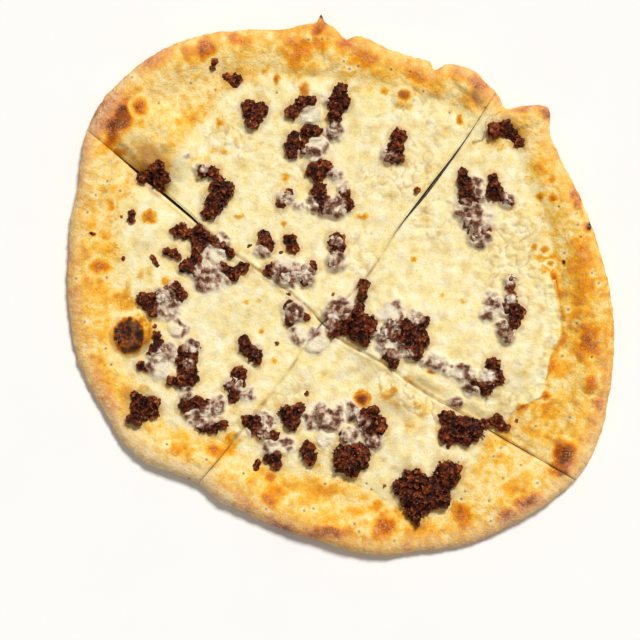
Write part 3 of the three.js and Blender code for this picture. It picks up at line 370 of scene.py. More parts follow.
# The fold of the dough round the cheese of the right slice: bearing, distance from the crossing
FOLD = np.array([
    (-25.8, 111.6), (-22.7, 115.4), (-18.2, 123.2), (-13.5, 122.4), (-10.6, 122.6), (-7.2, 123.5),
    (-2.9, 127), (2.5, 125.6), (6.7, 125), (11.8, 124.6),
])

# One value every 15 degrees from +X: how golden the rim is, how far in that reaches, how floury its side is
RIM_GOLD = np.array([
    0.48, 0.43, 0.34, 0.25, 0.4, 0.42, 0.42, 0.4, 0.4, 0.5, 0.3, 0.38,
    0.38, 0.27, 0.2, 0.12, 0.2, 0.4, 0.5, 0.46, 0.46, 0.42, 0.39, 0.45,
])
GOLD_WIDTH = np.array([
    36, 27, 16, 8, 16, 18, 20, 18, 18, 20, 18, 24,
    24, 20, 16, 12, 14, 24, 28, 28, 26, 28, 32, 38.0,
])
RIM_FLOUR = np.array([
    0.1, 0.1, 0.2, 0.4, 0.4, 0.3, 0.2, 0.2, 0.4, 0.9, 0.6, 0.5,
    0.6, 0.7, 0.9, 1, 1, 0.7, 0.5, 0.6, 0.7, 0.8, 0.75, 0.45,
])

# Noise fields: the size of their lumps, and a seed
FIELDS = {
    "broad": (12, 0), "middling": (5, 1), "small": (2.4, 2), "fine": (1.2, 3), "sideways": (5, 11),
    "billow": (5.5, 21), "ripple": (3.2, 22), "side_wave": (6, 31), "side_bump": (2.2, 32),
    "side_grit": (1.1, 35), "pore": (1.8, 33), "big_pore": (3.5, 34), "film_patch": (3.4, 41),
    "film_edge": (1.4, 42), "chunk": (2.1, 43), "crevice": (1.4, 44), "cleft": (3.6, 45), "grit": (0.8, 46),
    "lump": (4.6, 51), "little_lump": (2.2, 52), "flow_x": (6, 53), "flow_y": (6, 54), "margin": (16, 61),
    "drift_x": (7, 62), "drift_y": (7, 63), "blotch": (8, 64), "little_blotch": (3.5, 65),
}

# How finely the pieces are divided

BREAD_ACROSS, BREAD_INNER_ROWS, BREAD_BAND_ROWS, BREAD_WALL_ROWS, BREAD_LEVELS = 400, 14, 66, 32, 12
CHEESE_FINE, CHEESE_COARSE = 228, 38
CLUMP_GRAIN = 0.38
CRAG_ROUNDS, BULGE_ROUNDS = 4, 14  # of smoothing that tell what stands proud by a little and by more
BEARING_ROUNDS = 5  # of finding a place's bearing again from its distance


# Plain arithmetic

def mix(low, high, share):
    return low + (high - low) * share


def smooth_step(low, high, value):
    share = np.clip((value - low) / (high - low), 0, 1)
    return share * share * (3 - 2 * share)


def spline(before, start, end, after, share):
    """Smooth curve through four neighbouring values, share running from the second to the third."""
    slope, next_slope, rise = (end - before) / 2, (after - start) / 2, end - start
    return start + share * (slope + share * (
        3 * rise - 2 * slope - next_slope + share * (slope + next_slope - 2 * rise)))


def around_the_clock(values, bearing):
    place = (bearing % 360) / (360 / len(values))
    index = np.floor(place).astype(int)
    before, start, end, after = (values[(index + step) % len(values)] for step in (-1, 0, 1, 2))
    return spline(before, start, end, after, place - index)


def along_the_list(values, place):
    values = np.asarray(values, float)
    place = np.clip(place, 0, len(values) - 1.001)
    index = np.floor(place).astype(int)
    before, start, end, after = (
        values[np.clip(index + step, 0, len(values) - 1)] for step in (-1, 0, 1, 2))
    return spline(before, start, end, after, place - index)


def noise(x, y, z, grain, seed):
    """Smooth noise, about -1 to 1, whose lumps are about one grain apart."""
    places = [np.asarray(axis) / grain + seed * 7.31 for axis in (x, y, z)]
    whole = [np.floor(place) for place in places]
    part = [place - floor for place, floor in zip(places, whole)]
    fade = [share ** 3 * (share * (share * 6 - 15) + 10) for share in part]
    total = 0
    for corner in itertools.product((0, 1), repeat=3):
        mixed = np.uint64(seed + 1)
        for floor, step, factor in zip(whole, corner, (73856093, 19349663, 83492791)):
            mixed = mixed ^ ((floor + step).astype(np.int64).astype(np.uint64) * np.uint64(factor))
        mixed = (mixed ^ (mixed >> np.uint64(15))) * np.uint64(2246822519)
        mixed = (mixed ^ (mixed >> np.uint64(13))) * np.uint64(3266489917)
        weight, slope = 1, 0
        for axis in range(3):
            weight = weight * (fade[axis] if corner[axis] else 1 - fade[axis])
            bits = (mixed >> np.uint64(8 + 10 * axis)) & np.uint64(1023)
            slope = slope + (bits.astype(float) / 511.5 - 1) * (part[axis] - corner[axis])
        total = total + weight * slope
    return 1.5 * total


def field(name, x, y, z=None):
    grain, seed = FIELDS[name]
    return noise(x, y, np.zeros_like(x) if z is None else z, grain, seed)


# The plan of the bread

def rim_reach(bearing):
    reach = around_the_clock(RIM_REACH, bearing)
    for at, width, out in EDGE_FEATURES:
        away = (bearing - at + 180) % 360 - 180
        reach = reach + out * np.exp(-((away / width) ** 2))
    return reach


def cheese_reach(bearing):
    return np.minimum(around_the_clock(CHEESE_REACH, bearing), rim_reach(bearing) - CREST_INSET - 1)


def polar(x, y):
    """Bearing and distance from the crossing of the cuts."""
    dx, dy = x - CROSSING[0], y - CROSSING[1]
    return np.degrees(np.arctan2(dy, dx)), np.hypot(dx, dy)


def slice_point(name, share, distance_at, opened=1.0):
    """A place in a slice, at a share of the way from its first cut to its second."""
    first, last, turn = SLICES[name]

    def side(cut, distance, way):
        bearings, openings = CUTS[cut]
        opening = along_the_list(openings, distance / CUT_STEP) - CUT_CLOSES
        opening = np.maximum(opening * opened, NARROWEST_CUT)
        return along_the_list(bearings, distance / CUT_STEP) + way * np.degrees(opening / 2 / distance)

    bearing = mix(CUTS[first][0][2], CUTS[last][0][2] + turn, share)
    for _ in range(BEARING_ROUNDS):
        distance = distance_at(bearing)
        held = np.maximum(distance, TIP_ZONE)
        bearing = mix(side(first, held, 1), side(last, held, -1) + turn, share)
    angle = np.radians(bearing)
    x, y = CROSSING[0] + held * np.cos(angle), CROSSING[1] + held * np.sin(angle)
    middle = math.radians((CUTS[first][0][0] + CUTS[last][0][0] + turn) / 2)
    tip_x = CROSSING[0] + TIP_SET_BACK * math.cos(middle)
    tip_y = CROSSING[1] + TIP_SET_BACK * math.sin(middle)
    inner = np.minimum(distance / TIP_ZONE, 1)
    return mix(tip_x, x, inner), mix(tip_y, y, inner)


def slice_width(name, distance):
    first, last, turn = SLICES[name]
    opening = CUTS[last][0][3] + turn - CUTS[first][0][3]
    return np.radians(opening) * distance


def cut_distance(bearing, distance):
    """Distance to the nearest cut."""
    nearest = np.full_like(distance, 1e3)
    for bearings, _ in CUTS.values():
        off = np.radians(bearing - along_the_list(bearings, distance / CUT_STEP))
        nearest = np.where(np.cos(off) > 0, np.minimum(nearest, distance * abs(np.sin(off))), nearest)
    return nearest


def slice_at(x, y):
    bearing, distance = polar(x, y)
    turned = bearing % 360
    cut_at = {name: along_the_list(CUTS[name][0], distance / CUT_STEP) for name in CUTS}
    if turned < cut_at["upper_right"] or turned > cut_at["lower_right"] + 360:
        return "right"
    if turned < cut_at["upper_left"]:
        return "top"
    return "left" if turned < cut_at["lower_left"] else "bottom"


# The lie of the dough

def oval(x, y, at_x, at_y, half_x, half_y, turn):
    """Distance from the middle of a turned oval, 1 on its outline."""
    angle = math.radians(turn)
    dx, dy = x - at_x, y - at_y
    along = (dx * math.cos(angle) + dy * math.sin(angle)) / half_x
    across = (dy * math.cos(angle) - dx * math.sin(angle)) / half_y
    return np.hypot(along, across)


def patches(spots, x, y, core):
    """The strongest of the oval patches at each place: its full strength inside its core."""
    total = np.zeros_like(x)
    for at_x, at_y, half_x, half_y, turn, strength in spots:
        reach = max(half_x, half_y)
        near = (abs(x - at_x) < reach) & (abs(y - at_y) < reach)
        away = oval(x[near], y[near], at_x, at_y, half_x, half_y, turn)
        total[near] = np.maximum(total[near], strength * smooth_step(1, core, away))
    return total


def line_distance(points, x, y):
    nearest = np.full_like(x, 1e3)
    for (ax, ay), (bx, by) in zip(points, points[1:]):
        dx, dy = bx - ax, by - ay
        share = np.clip(((x - ax) * dx + (y - ay) * dy) / (dx * dx + dy * dy), 0, 1)
        nearest = np.minimum(nearest, np.hypot(x - ax - share * dx, y - ay - share * dy))
    return nearest


def unevenness(x, y):
    return (0.4 * np.sin(x / 17 + 0.6 * np.sin(y / 23)) + 0.35 * np.sin(y / 14 + x / 31 + 1.7)
            + 0.25 * np.sin(x / 8.5 - y / 11 + 0.4))


def crest_height(bearing):
    return CREST_HEIGHT + 1.1 * np.sin(np.radians(3 * bearing + 40)) + 0.8 * np.sin(np.radians(7 * bearing))


def bread_height(name, x, y):
    """Top of the dough from the crossing out to the crest of the rim."""
    bearing, distance = polar(x, y)
    rim_share = smooth_step(RIM_WIDTH, CREST_INSET, rim_reach(bearing) - distance)
    height = mix(CRUMB_THICKNESS + 0.7 * unevenness(x, y), crest_height(bearing), rim_share)
    for at_x, at_y, half_x, half_y, turn, rise in SWELLINGS[name]:
        height = height + rise * smooth_step(1, 0.5, oval(x, y, at_x, at_y, half_x, half_y, turn))
    for cut, start, end, depth, width in DIPS.get(name, ()):
        off = bearing - along_the_list(CUTS[cut][0], distance / CUT_STEP)
        along = smooth_step(0, 12, np.minimum(distance - start, end - distance))
        height = height - depth * along * smooth_step(width, 0, distance * abs(np.sin(np.radians(off))))
    return height


def clump_gap(x, y):
    """Distance to the nearest clump of sujuk, below zero inside one."""
    gap = np.full_like(x, 1e3)
    for _, lobes in CLUMPS.values():
        for at_x, at_y, reach in lobes:
            near = (abs(x - at_x) < reach + 8) & (abs(y - at_y) < reach + 8)
            gap[near] = np.minimum(gap[near], np.hypot(x[near] - at_x, y[near] - at_y) - reach)
    return gap


def film_strength(x, y, spread):
    """How much melted cheese has run over the sujuk at each place, 0 to 1."""
    films = [(ax, ay, reach * spread, reach * spread, 0, strength) for ax, ay, reach, strength in FILMS]
    return patches(films, x, y, FILM_CORE)


def round_pricks(radius):
    return [(ax, ay, radius, radius, 0, 1) for ax, ay in PRICKS]


def blister_patches(spread, strength):
    """The blisters as patches, spread by a factor, each as strong as its rise and browning give."""
    return [
        (ax, ay, spread * half_x, spread * half_y, 0, strength(rise, brown))
        for ax, ay, half_x, half_y, rise, brown in BLISTERS]


def place_on(name, x, y):
    """Where each place of a slice lies, with the noises that its relief and its marks share."""
    bearing, distance = polar(x, y)
    at = SimpleNamespace(x=x, y=y, bearing=bearing, distance=distance)
    at.inset = rim_reach(bearing) - distance
    at.melt_edge = cheese_reach(bearing) - distance
    at.broad, at.middling, at.small, at.fine = (
        field(size, x, y) for size in ("broad", "middling", "small", "fine"))
    at.wander = (
        x + 1.3 * at.middling + 0.5 * at.small, y + 1.3 * field("sideways", x, y) - 0.5 * at.small)
    at.billow = abs(field("billow", x, y)) * 1.5 + abs(field("ripple", x, y)) * 0.8
    at.bubbly = patches(BUBBLY, x, y, 0.4)
    at.prick = patches(round_pricks(PRICK_RADIUS), x, y, 0.1)
    at.tear = 0.7 * sum(smooth_step(0.7, 0.1, line_distance(points, *at.wander)) for points in TEARS)
    at.clump_gap = clump_gap(x, y)
    at.cut_side = cut_distance(bearing, distance) + 0.25 * at.small
    at.inside_fold = np.interp(bearing, *FOLD.T) - distance + 1.3 * at.middling + 0.6 * at.small
    past_fold_ends = abs(bearing - FOLD[:, 0].mean()) - np.ptp(FOLD[:, 0]) / 2
    at.folded = smooth_step(3, 0, past_fold_ends) * (name == "right")
    flow = x + 1.8 * field("flow_x", x, y), y + 1.8 * field("flow_y", x, y)
    at.film, at.pool = film_strength(*flow, FILM_ON_CHEESE), patches(POOLS, *flow, POOL_CORE)
    lump = field("lump", x, y) + 0.5 * field("little_lump", x, y)
    veiled = smooth_step(0.05, 0.9, at.film + 0.25 * lump) * smooth_step(-1.1, 0.7, lump)
    at.veiled = veiled * smooth_step(2, 8, at.melt_edge) * (1 - 0.92 * at.pool)
    return at


def relief(at):
    """How far the baked surface stands off the even lie of the dough."""
    height = 0.6 * at.broad + 0.34 * at.middling + 0.12 * at.small + 0.05 * at.fine
    blisters = blister_patches(1, lambda rise, brown: rise)
    height = height + patches(blisters, at.x, at.y, 0.1) - PRICK_DEPTH * at.prick - TEAR_DEPTH * at.tear
    height = height + at.bubbly * (0.7 * np.minimum(at.billow, 1.1) - 0.35)
    roughness = 0.12 * at.middling + 0.14 * at.small + 0.05 * at.fine
    height = height + smooth_step(8, -4, at.melt_edge) * roughness
    beside_cheese = smooth_step(10, -4, at.melt_edge) * smooth_step(CREST_INSET, CREST_INSET + 10, at.inset)
    height = height + PUFFED * beside_cheese
    fold_lip = smooth_step(4.5, 1, abs(at.inside_fold - FOLD_LIP_AT))
    height = height + at.folded * fold_lip * (FOLD_LIP_RISE + 0.7 * at.middling + 0.5 * at.small)
    height = height - FOLD_DEPTH * at.folded * smooth_step(1.3, 0.1, abs(at.inside_fold))
    return height + CUT_LIP * smooth_step(3.6, 1.5, at.cut_side) * smooth_step(6, 20, at.distance)


def toasting(at):
    """How browned the surface is: about 0.1 where pale, 0.5 where golden brown, 1 where burnt."""
    golden_width = around_the_clock(GOLD_WIDTH, at.bearing)
    gold = around_the_clock(RIM_GOLD, at.bearing) * smooth_step(
        1, 0.1, at.inset / golden_width + 0.18 * at.broad + 0.1 * at.middling)
    margin = smooth_step(38, 0, at.melt_edge) * (0.4 + 0.6 * smooth_step(-16, -2, at.melt_edge))
    margin = margin * (0.85 + 0.9 * field("margin", at.x, at.y))
    toast = 0.1 + 0.17 * margin + 0.36 * gold + 0.11 * at.broad + 0.12 * at.middling + 0.06 * at.small
    blotched = field("blotch", at.x, at.y) + 0.5 * field("little_blotch", at.x, at.y)
    blotch = gold * smooth_step(0, 0.6, blotched)
    drift = [
        along + 2.4 * field(way, at.x, at.y) for along, way in zip(at.wander, ("drift_x", "drift_y"))]
    toast = toast + 0.22 * blotch + patches(BROWNED, *drift, 0.25)
    toast = toast - 0.14 * patches(round_pricks(PRICK_PALE_RADIUS), at.x, at.y, 0.3)
    toast = mix(toast, np.minimum(toast, 0.16), at.folded * smooth_step(-0.2, 1.5, at.inside_fold))
    beyond_fold = smooth_step(2.4, 0, abs(at.inside_fold + 1.2)) * smooth_step(-0.4, 0.3, at.broad)
    toast = toast + 0.22 * at.folded * beyond_fold
    rings = blister_patches(BLISTER_RING, lambda rise, brown: min(1, 2 * brown))
    toast = mix(toast, np.minimum(toast, 0.2), patches(rings, *at.wander, 0.6))
    spots = blister_patches(BLISTER_BROWN, lambda rise, brown: brown)
    toast = np.maximum(toast, 0.19 + patches(spots, *at.wander, 0.1))
    return toast + patches(CHARRED, *at.wander, 0.7) * (0.92 + 0.5 * at.small + 0.35 * at.fine)


def staining_and_shade(at):
    """How much fat and browning has gathered, with painted shade in creases, round clumps, in the fold and
    along the cuts.
    """
    crease = smooth_step(0.42, 0.08, at.billow)
    # painted shade in the creases of bubbly places; fat stains mixed with painted shade round the clumps
    stain = 0.75 * at.bubbly * crease + 0.6 * smooth_step(3.2, 0.2, at.clump_gap + 0.8 * at.small)
    stain = stain + 0.25 * smooth_step(0.1, 0.5, at.middling + 0.3 * at.broad)
    # painted shade in the crease of the fold, and tan mottling beside it
    in_fold = smooth_step(0.9, 0.1, abs(at.inside_fold)) * smooth_step(-0.5, 0.2, at.small + at.broad)
    by_fold = smooth_step(17, 6, at.inside_fold) * smooth_step(0.1, 0.6, at.small + 0.5 * at.middling)
    stain = stain + at.folded * (0.9 * in_fold + 0.45 * by_fold)
    # painted shade along the cuts
    return stain + 0.9 * smooth_step(1.3, 0.3, at.cut_side) * smooth_step(-0.5, 0.3, at.broad + at.middling)


def surface(name, x, y):
    """The baked surface at each place: its height without the cheese, and its marks."""
    at = place_on(name, x, y)
    melt = smooth_step(-2, 6, at.melt_edge + 4 * at.middling + 2 * at.small)
    milk = np.maximum(film_strength(x, y, MILKY_FILM) + 0.25 * at.middling, 1.1 * at.pool)
    # dulled brownish patches, many of them painted shade
    dull = patches(DULL_AND_SHADE, *at.wander, 0.1) + 0.1 * at.middling
    at.height = bread_height(name, x, y) + relief(at)
    at.marks = {
        "toast": toasting(at), "melt": mix(melt, smooth_step(-0.6, 1.4, at.inside_fold), at.folded),
        "stain": np.clip(staining_and_shade(at), 0, 1), "prick": at.prick, "milk": np.clip(milk, 0, 1),
        "veiled": at.veiled, "dull": np.clip(dull, 0, 1), "tear": at.tear}
    return at


def cheese_top(name, x, y, cut_gap):
    """Top of the melted cheese, and the surface that it lies on."""
    ground = surface(name, x, y)
    run = FILM_RISE * ground.film + VEIL_RISE * ground.veiled + POOL_RISE * ground.pool
    by_clump = smooth_step(2.2, -0.6, ground.clump_gap + 0.5 * ground.small)
    body = mix(CHEESE_EDGE, CHEESE_THICKNESS, smooth_step(0, CHEESE_FADE, ground.melt_edge))
    body = body + run * smooth_step(4, 12, ground.melt_edge)
    body = body + (0.7 + 1.5 * smooth_step(0, 0.6, ground.film)) * by_clump * smooth_step(
        2, 8, ground.melt_edge)
    body = body - CHEESE_DROP * smooth_step(CUT_ROUNDING, 0, cut_gap) * smooth_step(0, 6, ground.melt_edge)
    return ground.height + np.maximum(body, CHEESE_EDGE), ground


def resting_height(x, y):
    """What a clump at this place is set down on."""
    name, x, y = slice_at(x, y), np.array([x], float), np.array([y], float)
    bearing, distance = polar(x, y)
    cheese = CHEESE_THICKNESS * smooth_step(0, CHEESE_FADE, cheese_reach(bearing) - distance)
    return float((bread_height(name, x, y) + cheese)[0])


# Making meshes

def places(bm):
    return np.array([vert.co for vert in bm.verts]).T


def move_to(bm, x, y, z):
    """Puts every point of the mesh at its place, from millimetres in the plan to metres."""
    for vert, px, py, pz in zip(bm.verts, x - MIDDLE[0], y - MIDDLE[1], z):
        vert.co = (px * MM, py * MM, pz * MM)


def write_marks(bm, marks):
    for name, values in marks.items():
        layer = bm.verts.layers.float.new(name)
        for vert, value in zip(bm.verts, values):
            vert[layer] = value


def mesh_of(bm, name):
    mesh = bpy.data.meshes.new(name)
    bm.to_mesh(mesh)
    bm.free()
    return mesh


def add_object(name, data):
    added = bpy.data.objects.new(name, data)
    bpy.context.scene.collection.objects.link(added)
    return added


def new_piece(name, mesh, finish):
    mesh.materials.append(finish)
    return add_object(name, mesh)


def numbers(items, key, width, kind=float):
    """What each item of a mesh says under a key, one row for each item."""
    found = np.empty(len(items) * width, kind)
    items.foreach_get(key, found)
    return found.reshape(-1, width)


# The bread

def bread_net():
    """The skin of a slice in plain numbers: x across, y outwards, z from the underside to the top."""
    rows = BREAD_INNER_ROWS + BREAD_BAND_ROWS + BREAD_WALL_ROWS
    bm = bmesh.new()
    bmesh.ops.create_grid(
        bm, x_segments=BREAD_ACROSS, y_segments=rows, size=0.5, matrix=Matrix.Translation((0.5, 0.5, 1)))
    for side in (0, 1):
        upright = Matrix.Translation((side, 0.5, 0.5)) @ Matrix.Rotation(math.pi / 2, 4, "Y")
        bmesh.ops.create_grid(bm, x_segments=BREAD_LEVELS, y_segments=rows, size=0.5, matrix=upright)
    bmesh.ops.remove_doubles(bm, verts=bm.verts[:], dist=1e-4)
    bm.verts.index_update()
    return bm, rows


def wall_profile(share):
    place = share * (len(RIM_PROFILE) - 1)
    return along_the_list(RIM_PROFILE[:, 0], place), along_the_list(RIM_PROFILE[:, 1], place)


def roughened(x, y, z, bearing, across, wall, level):
    """The places of a slice, with the side of its rim made rough and its cut faces porous."""
    side_noise = (0.5 * field("side_wave", x, y, z) + 0.42 * field("side_bump", x, y, z)
                  + 0.18 * field("side_grit", x, y, z))
    outward = np.radians(bearing)
    on_side = smooth_step(0.1, 0.4, wall) * smooth_step(1, 0.85, wall) * (level > 0.999)
    x, y = x + np.cos(outward) * side_noise * on_side, y + np.sin(outward) * side_noise * on_side
    on_cut = smooth_step(1, 0.9, level) * smooth_step(0, 0.1, level) * smooth_step(1, 0.9, wall)
    porous = np.clip(field("pore", x, y, z) + 0.5 * field("big_pore", x, y, z), -0.5, 1.2)
    pores = on_cut * (0.25 + 0.35 * porous)
    tangent = outward + math.pi / 2
    inwards = np.where(across < 0.5, 1, -1) * pores
    return x + np.cos(tangent) * inwards, y + np.sin(tangent) * inwards


def bread_slice(name):
    bm, rows = bread_net()
    across, outwards, level = places(bm)
    row = outwards * rows
    wall = np.clip((row - BREAD_INNER_ROWS - BREAD_BAND_ROWS) / BREAD_WALL_ROWS, 0, 1)
    band = np.clip((row - BREAD_INNER_ROWS) / BREAD_BAND_ROWS, 0, 1)
    inset, height_share = wall_profile(wall)

    def top_distance(bearing, wall_inset=inset):
        covered = (cheese_reach(bearing) - BREAD_UNDERLAP) * np.minimum(row / BREAD_INNER_ROWS, 1)
        open_band = mix(covered, rim_reach(bearing) - CREST_INSET, band)
        return np.where(wall > 0, rim_reach(bearing) - wall_inset, open_band)

    opened = smooth_step(0.15, 0.95, level)
    x, y = slice_point(name, across, top_distance, opened)
    ground = surface(name, *slice_point(
        name, across,
        lambda bearing: np.where(wall > 0, rim_reach(bearing) - CREST_INSET, top_distance(bearing))))
    hidden = smooth_step(4, 9, ground.melt_edge)
    cut_gap = np.minimum(across, 1 - across) * slice_width(name, np.maximum(ground.distance, TIP_ZONE))
    top = ground.height - UNDER_CHEESE * hidden
    top = top - BREAD_DROP * smooth_step(CUT_ROUNDING, 0, cut_gap) * smooth_step(1, -2, ground.melt_edge)
    z = top * height_share

    floor_x, floor_y = slice_point(
        name, across, lambda bearing: top_distance(bearing, mix(CREST_INSET, FOOT_INSET, wall)), opened)
    x, y, z = mix(floor_x, x, level), mix(floor_y, y, level), z * level
    x, y = roughened(x, y, z, ground.bearing, across, wall, level)
    skin = surface(name, x, y)
    flour = around_the_clock(RIM_FLOUR, ground.bearing) * smooth_step(13, 1, skin.inset)
    flour = flour + 0.5 * smooth_step(0.2, 0.8, skin.small) * smooth_step(26, 10, skin.inset)
    # the cut faces carry painted shade, darker towards the bottom
    marks = dict(
        skin.marks, flour=np.clip(flour, 0, 1), crumb=smooth_step(0.97, 0.9, level), deep=1 - level)
    move_to(bm, x, y, z)
    write_marks(bm, marks)
    bmesh.ops.remove_doubles(bm, verts=bm.verts[:], dist=2e-6)
    for face in bm.faces:
        face.smooth = True
    underside = bmesh.ops.triangle_fill(
        bm, edges=[edge for edge in bm.edges if edge.is_boundary], normal=(0, 0, -1), use_beauty=True)
    for face in underside["geom"]:
        if isinstance(face, bmesh.types.BMFace):
            face.smooth = False
    bmesh.ops.recalc_face_normals(bm, faces=bm.faces[:])
    return new_piece(f"{name}_bread", mesh_of(bm, f"{name}_bread"), FINISHES["bread"])


# The cheese

def cheese_net():
    """A thin square layer: z 1 on its fine top and 0 on its coarse underside."""
    bm = bmesh.new()
    for level, count in ((1, CHEESE_FINE), (0, CHEESE_COARSE)):
        bmesh.ops.create_grid(
            bm, x_segments=count, y_segments=count, size=0.5, matrix=Matrix.Translation((0.5, 0.5, level)))
    bmesh.ops.bridge_loops(bm, edges=[edge for edge in bm.edges if edge.is_boundary])
    bm.verts.index_update()
    return bm


def cheese_slice(name):
    bm = cheese_net()
    along, aside, level = places(bm)
    reach = np.maximum(along, aside)
    with np.errstate(divide="ignore", invalid="ignore"):
        share = np.where(along >= aside, 0.5 * aside / along, 1 - 0.5 * along / aside)
    share = np.where(reach > 0, share, 0.5)

    def distance(bearing):
        wander = 1.2 * np.sin(np.radians(bearing * 9)) + 0.8 * np.sin(np.radians(bearing * 23 + 50))
        return reach * (cheese_reach(bearing) - 1.5 + wander)

    x, y = slice_point(name, share, distance)
    _, from_crossing = polar(x, y)
    cut_gap = np.minimum(share, 1 - share) * slice_width(name, from_crossing)
    top, ground = cheese_top(name, x, y, cut_gap)
    z = np.where(level > 0.5, top, ground.height - UNDER_LAYER)
    marks = dict(ground.marks, flour=np.zeros_like(x), crumb=np.zeros_like(x), deep=np.zeros_like(x))
    move_to(bm, x, y, z)
    write_marks(bm, marks)
    bmesh.ops.recalc_face_normals(bm, faces=bm.faces[:])
    for face in bm.faces:
        face.smooth = face.normal.z > 0.5
    for edge in bm.edges:
        edge.smooth = len({face.smooth for face in edge.link_faces}) == 1
    return new_piece(f"{name}_cheese", mesh_of(bm, f"{name}_cheese"), FINISHES["cheese"])


# The sujuk

def add_grain(bm, rng, at, radius):
    """One irregular, angular grain of minced meat."""
    turn = Euler([rng.uniform(0, math.tau) for _ in range(3)]).to_matrix().to_4x4()
    stretch = Matrix.Diagonal((rng.uniform(0.9, 1.5), rng.uniform(0.7, 1.1), rng.uniform(0.5, 0.9), 1))
    bmesh.ops.create_icosphere(
        bm, subdivisions=1, radius=radius, matrix=Matrix.Translation(at) @ turn @ stretch)


def add_body(bm, rng, at, half_wide, half_tall):
    """The uneven body of a lobe."""
    turn = Matrix.Rotation(rng.uniform(0, math.tau), 4, "Z") @ Matrix.Rotation(rng.uniform(-0.3, 0.3), 4, "X")
    stretch = Matrix.Diagonal(
        (half_wide * rng.uniform(0.9, 1.1), half_wide * rng.uniform(0.82, 1), half_tall, 1))
    bmesh.ops.create_icosphere(bm, subdivisions=2, radius=1, matrix=Matrix.Translation(at) @ turn @ stretch)


def minced_lobe(rng, x, y, reach, tall, ground):
    """A lobe of a clump: a body, a few chunks and many grains of meat crowded over it."""
    bm = bmesh.new()
    middle = ground + 0.34 * tall
    add_body(bm, rng, (x, y, middle), 0.88 * reach, 0.5 * tall)
    grains = int(5 + 0.22 * reach * tall)
    for low, high, number in ((0.28 * reach, 0.5 * reach, 8), (0.8, 1.9, grains), (0.45, 0.8, 2 * grains)):
        for _ in range(number):
            bearing, rise = rng.uniform(0, math.tau), math.asin(rng.uniform(-0.35, 1))
            grain = rng.uniform(low, high)
            out = reach * rng.uniform(0.86, 1.08) - 0.6 * grain
            up = 0.62 * tall * rng.uniform(0.86, 1.06) - 0.6 * grain
            add_grain(bm, rng, Vector((
                x + out * math.cos(rise) * math.cos(bearing), y + out * math.cos(rise) * math.sin(bearing),
                middle + up * math.sin(rise))), grain)
    return mesh_of(bm, "lobe")


def bridged(lobes):
    """The lobes, with smaller ones between neighbours that all but touch."""
    added = []
    for (ax, ay, ar, at), (bx, by, br, bt) in itertools.combinations(lobes, 2):
        apart = math.hypot(ax - bx, ay - by)
        if 0.75 * (ar + br) < apart < 1.5 * (ar + br) and min(ar, br) < 5.5:
            added.append(((ax + bx) / 2, (ay + by) / 2, 0.85 * min(ar, br), 0.85 * min(at, bt)))
    return list(lobes) + added


def minced_mesh(name, lobes):
    """The lobes grown together into one crumbly body, in millimetres."""
    rng = random.Random(name)
    bm = bmesh.new()
    for x, y, reach, tall in bridged(lobes):
        lobe = minced_lobe(rng, x, y, reach, tall, resting_height(x, y) - CLUMP_SINKS)
        bm.from_mesh(lobe)
        bpy.data.meshes.remove(lobe)
    mesh = mesh_of(bm, name)
    blank = add_object(name, mesh)
    remesh = blank.modifiers.new("grown_together", "REMESH")
    remesh.mode, remesh.voxel_size = "VOXEL", CLUMP_GRAIN
    grown = bpy.data.meshes.new_from_object(blank.evaluated_get(bpy.context.evaluated_depsgraph_get()))
    bpy.data.objects.remove(blank)
    bpy.data.meshes.remove(mesh)
    return grown


def neighbour_mean(values, edges, rounds):
    """Each point moved to the mean of its neighbours, this many times over."""
    here, there = np.concatenate([edges, edges[:, ::-1]]).T
    number = np.maximum(np.bincount(here, minlength=len(values)), 1)
    for _ in range(rounds):
        values = np.stack([
            np.bincount(here, weights=axis[there], minlength=len(values)) / number for axis in values.T], 1)
    return values


def sujuk_piece(name, lobes):
    mesh = minced_mesh(name, lobes)
    spots, facing = numbers(mesh.vertices, "co", 3), numbers(mesh.vertex_normals, "vector", 3)
    x, y, z = spots.T
    covered = film_strength(x, y, FILM_ON_SUJUK)
    film = (covered * (0.75 + 0.25 * facing[:, 2]) + 0.45 * field("film_patch", x, y, z)
            + 0.2 * field("film_edge", x, y, z))
    film = smooth_step(0.22, 1.25, film) * smooth_step(0, 0.4, covered)
    crags = (0.4 * field("chunk", x, y, z) - 0.5 * abs(field("crevice", x, y, z))
             - 0.8 * abs(field("cleft", x, y, z)) + 0.2 * field("grit", x, y, z))
    spots = spots + facing * mix(crags, FILM_ON_CLUMP, film)[:, None]
    edges = numbers(mesh.edges, "vertices", 2, int)
    smooth = neighbour_mean(spots, edges, CRAG_ROUNDS)
    smoothest = neighbour_mean(smooth, edges, BULGE_ROUNDS)
    proud = np.sum((spots - smooth) * facing, axis=1)
    bulge = np.sum((smooth - smoothest) * facing, axis=1)
    spots = mix(spots, smooth, 0.7 * film[:, None])
    spots = (spots - np.array([MIDDLE[0], MIDDLE[1], 0])) * MM
    mesh.vertices.foreach_set("co", spots.ravel())
    # proud and bulge make the finish lighter where the meat stands out and darker in its crevices: painted
    # light and shade
    marks = {"film": film, "proud": np.clip(0.5 + 1.4 * proud, 0, 1), "bulge": np.clip(0.5 + bulge, 0, 1)}
    for mark, values in marks.items():
        mesh.attributes.new(mark, "FLOAT", "POINT").data.foreach_set("value", values)
    mesh.shade_smooth()
    mesh.update()
    return new_piece(name, mesh, FINISHES["sujuk"])


def clump_lobes(name):
    tall, lobes = CLUMPS[name]
    rng = random.Random(name + " heights")
    return [(x, y, reach, tall * rng.uniform(0.84, 1.0)) for x, y, reach in lobes]


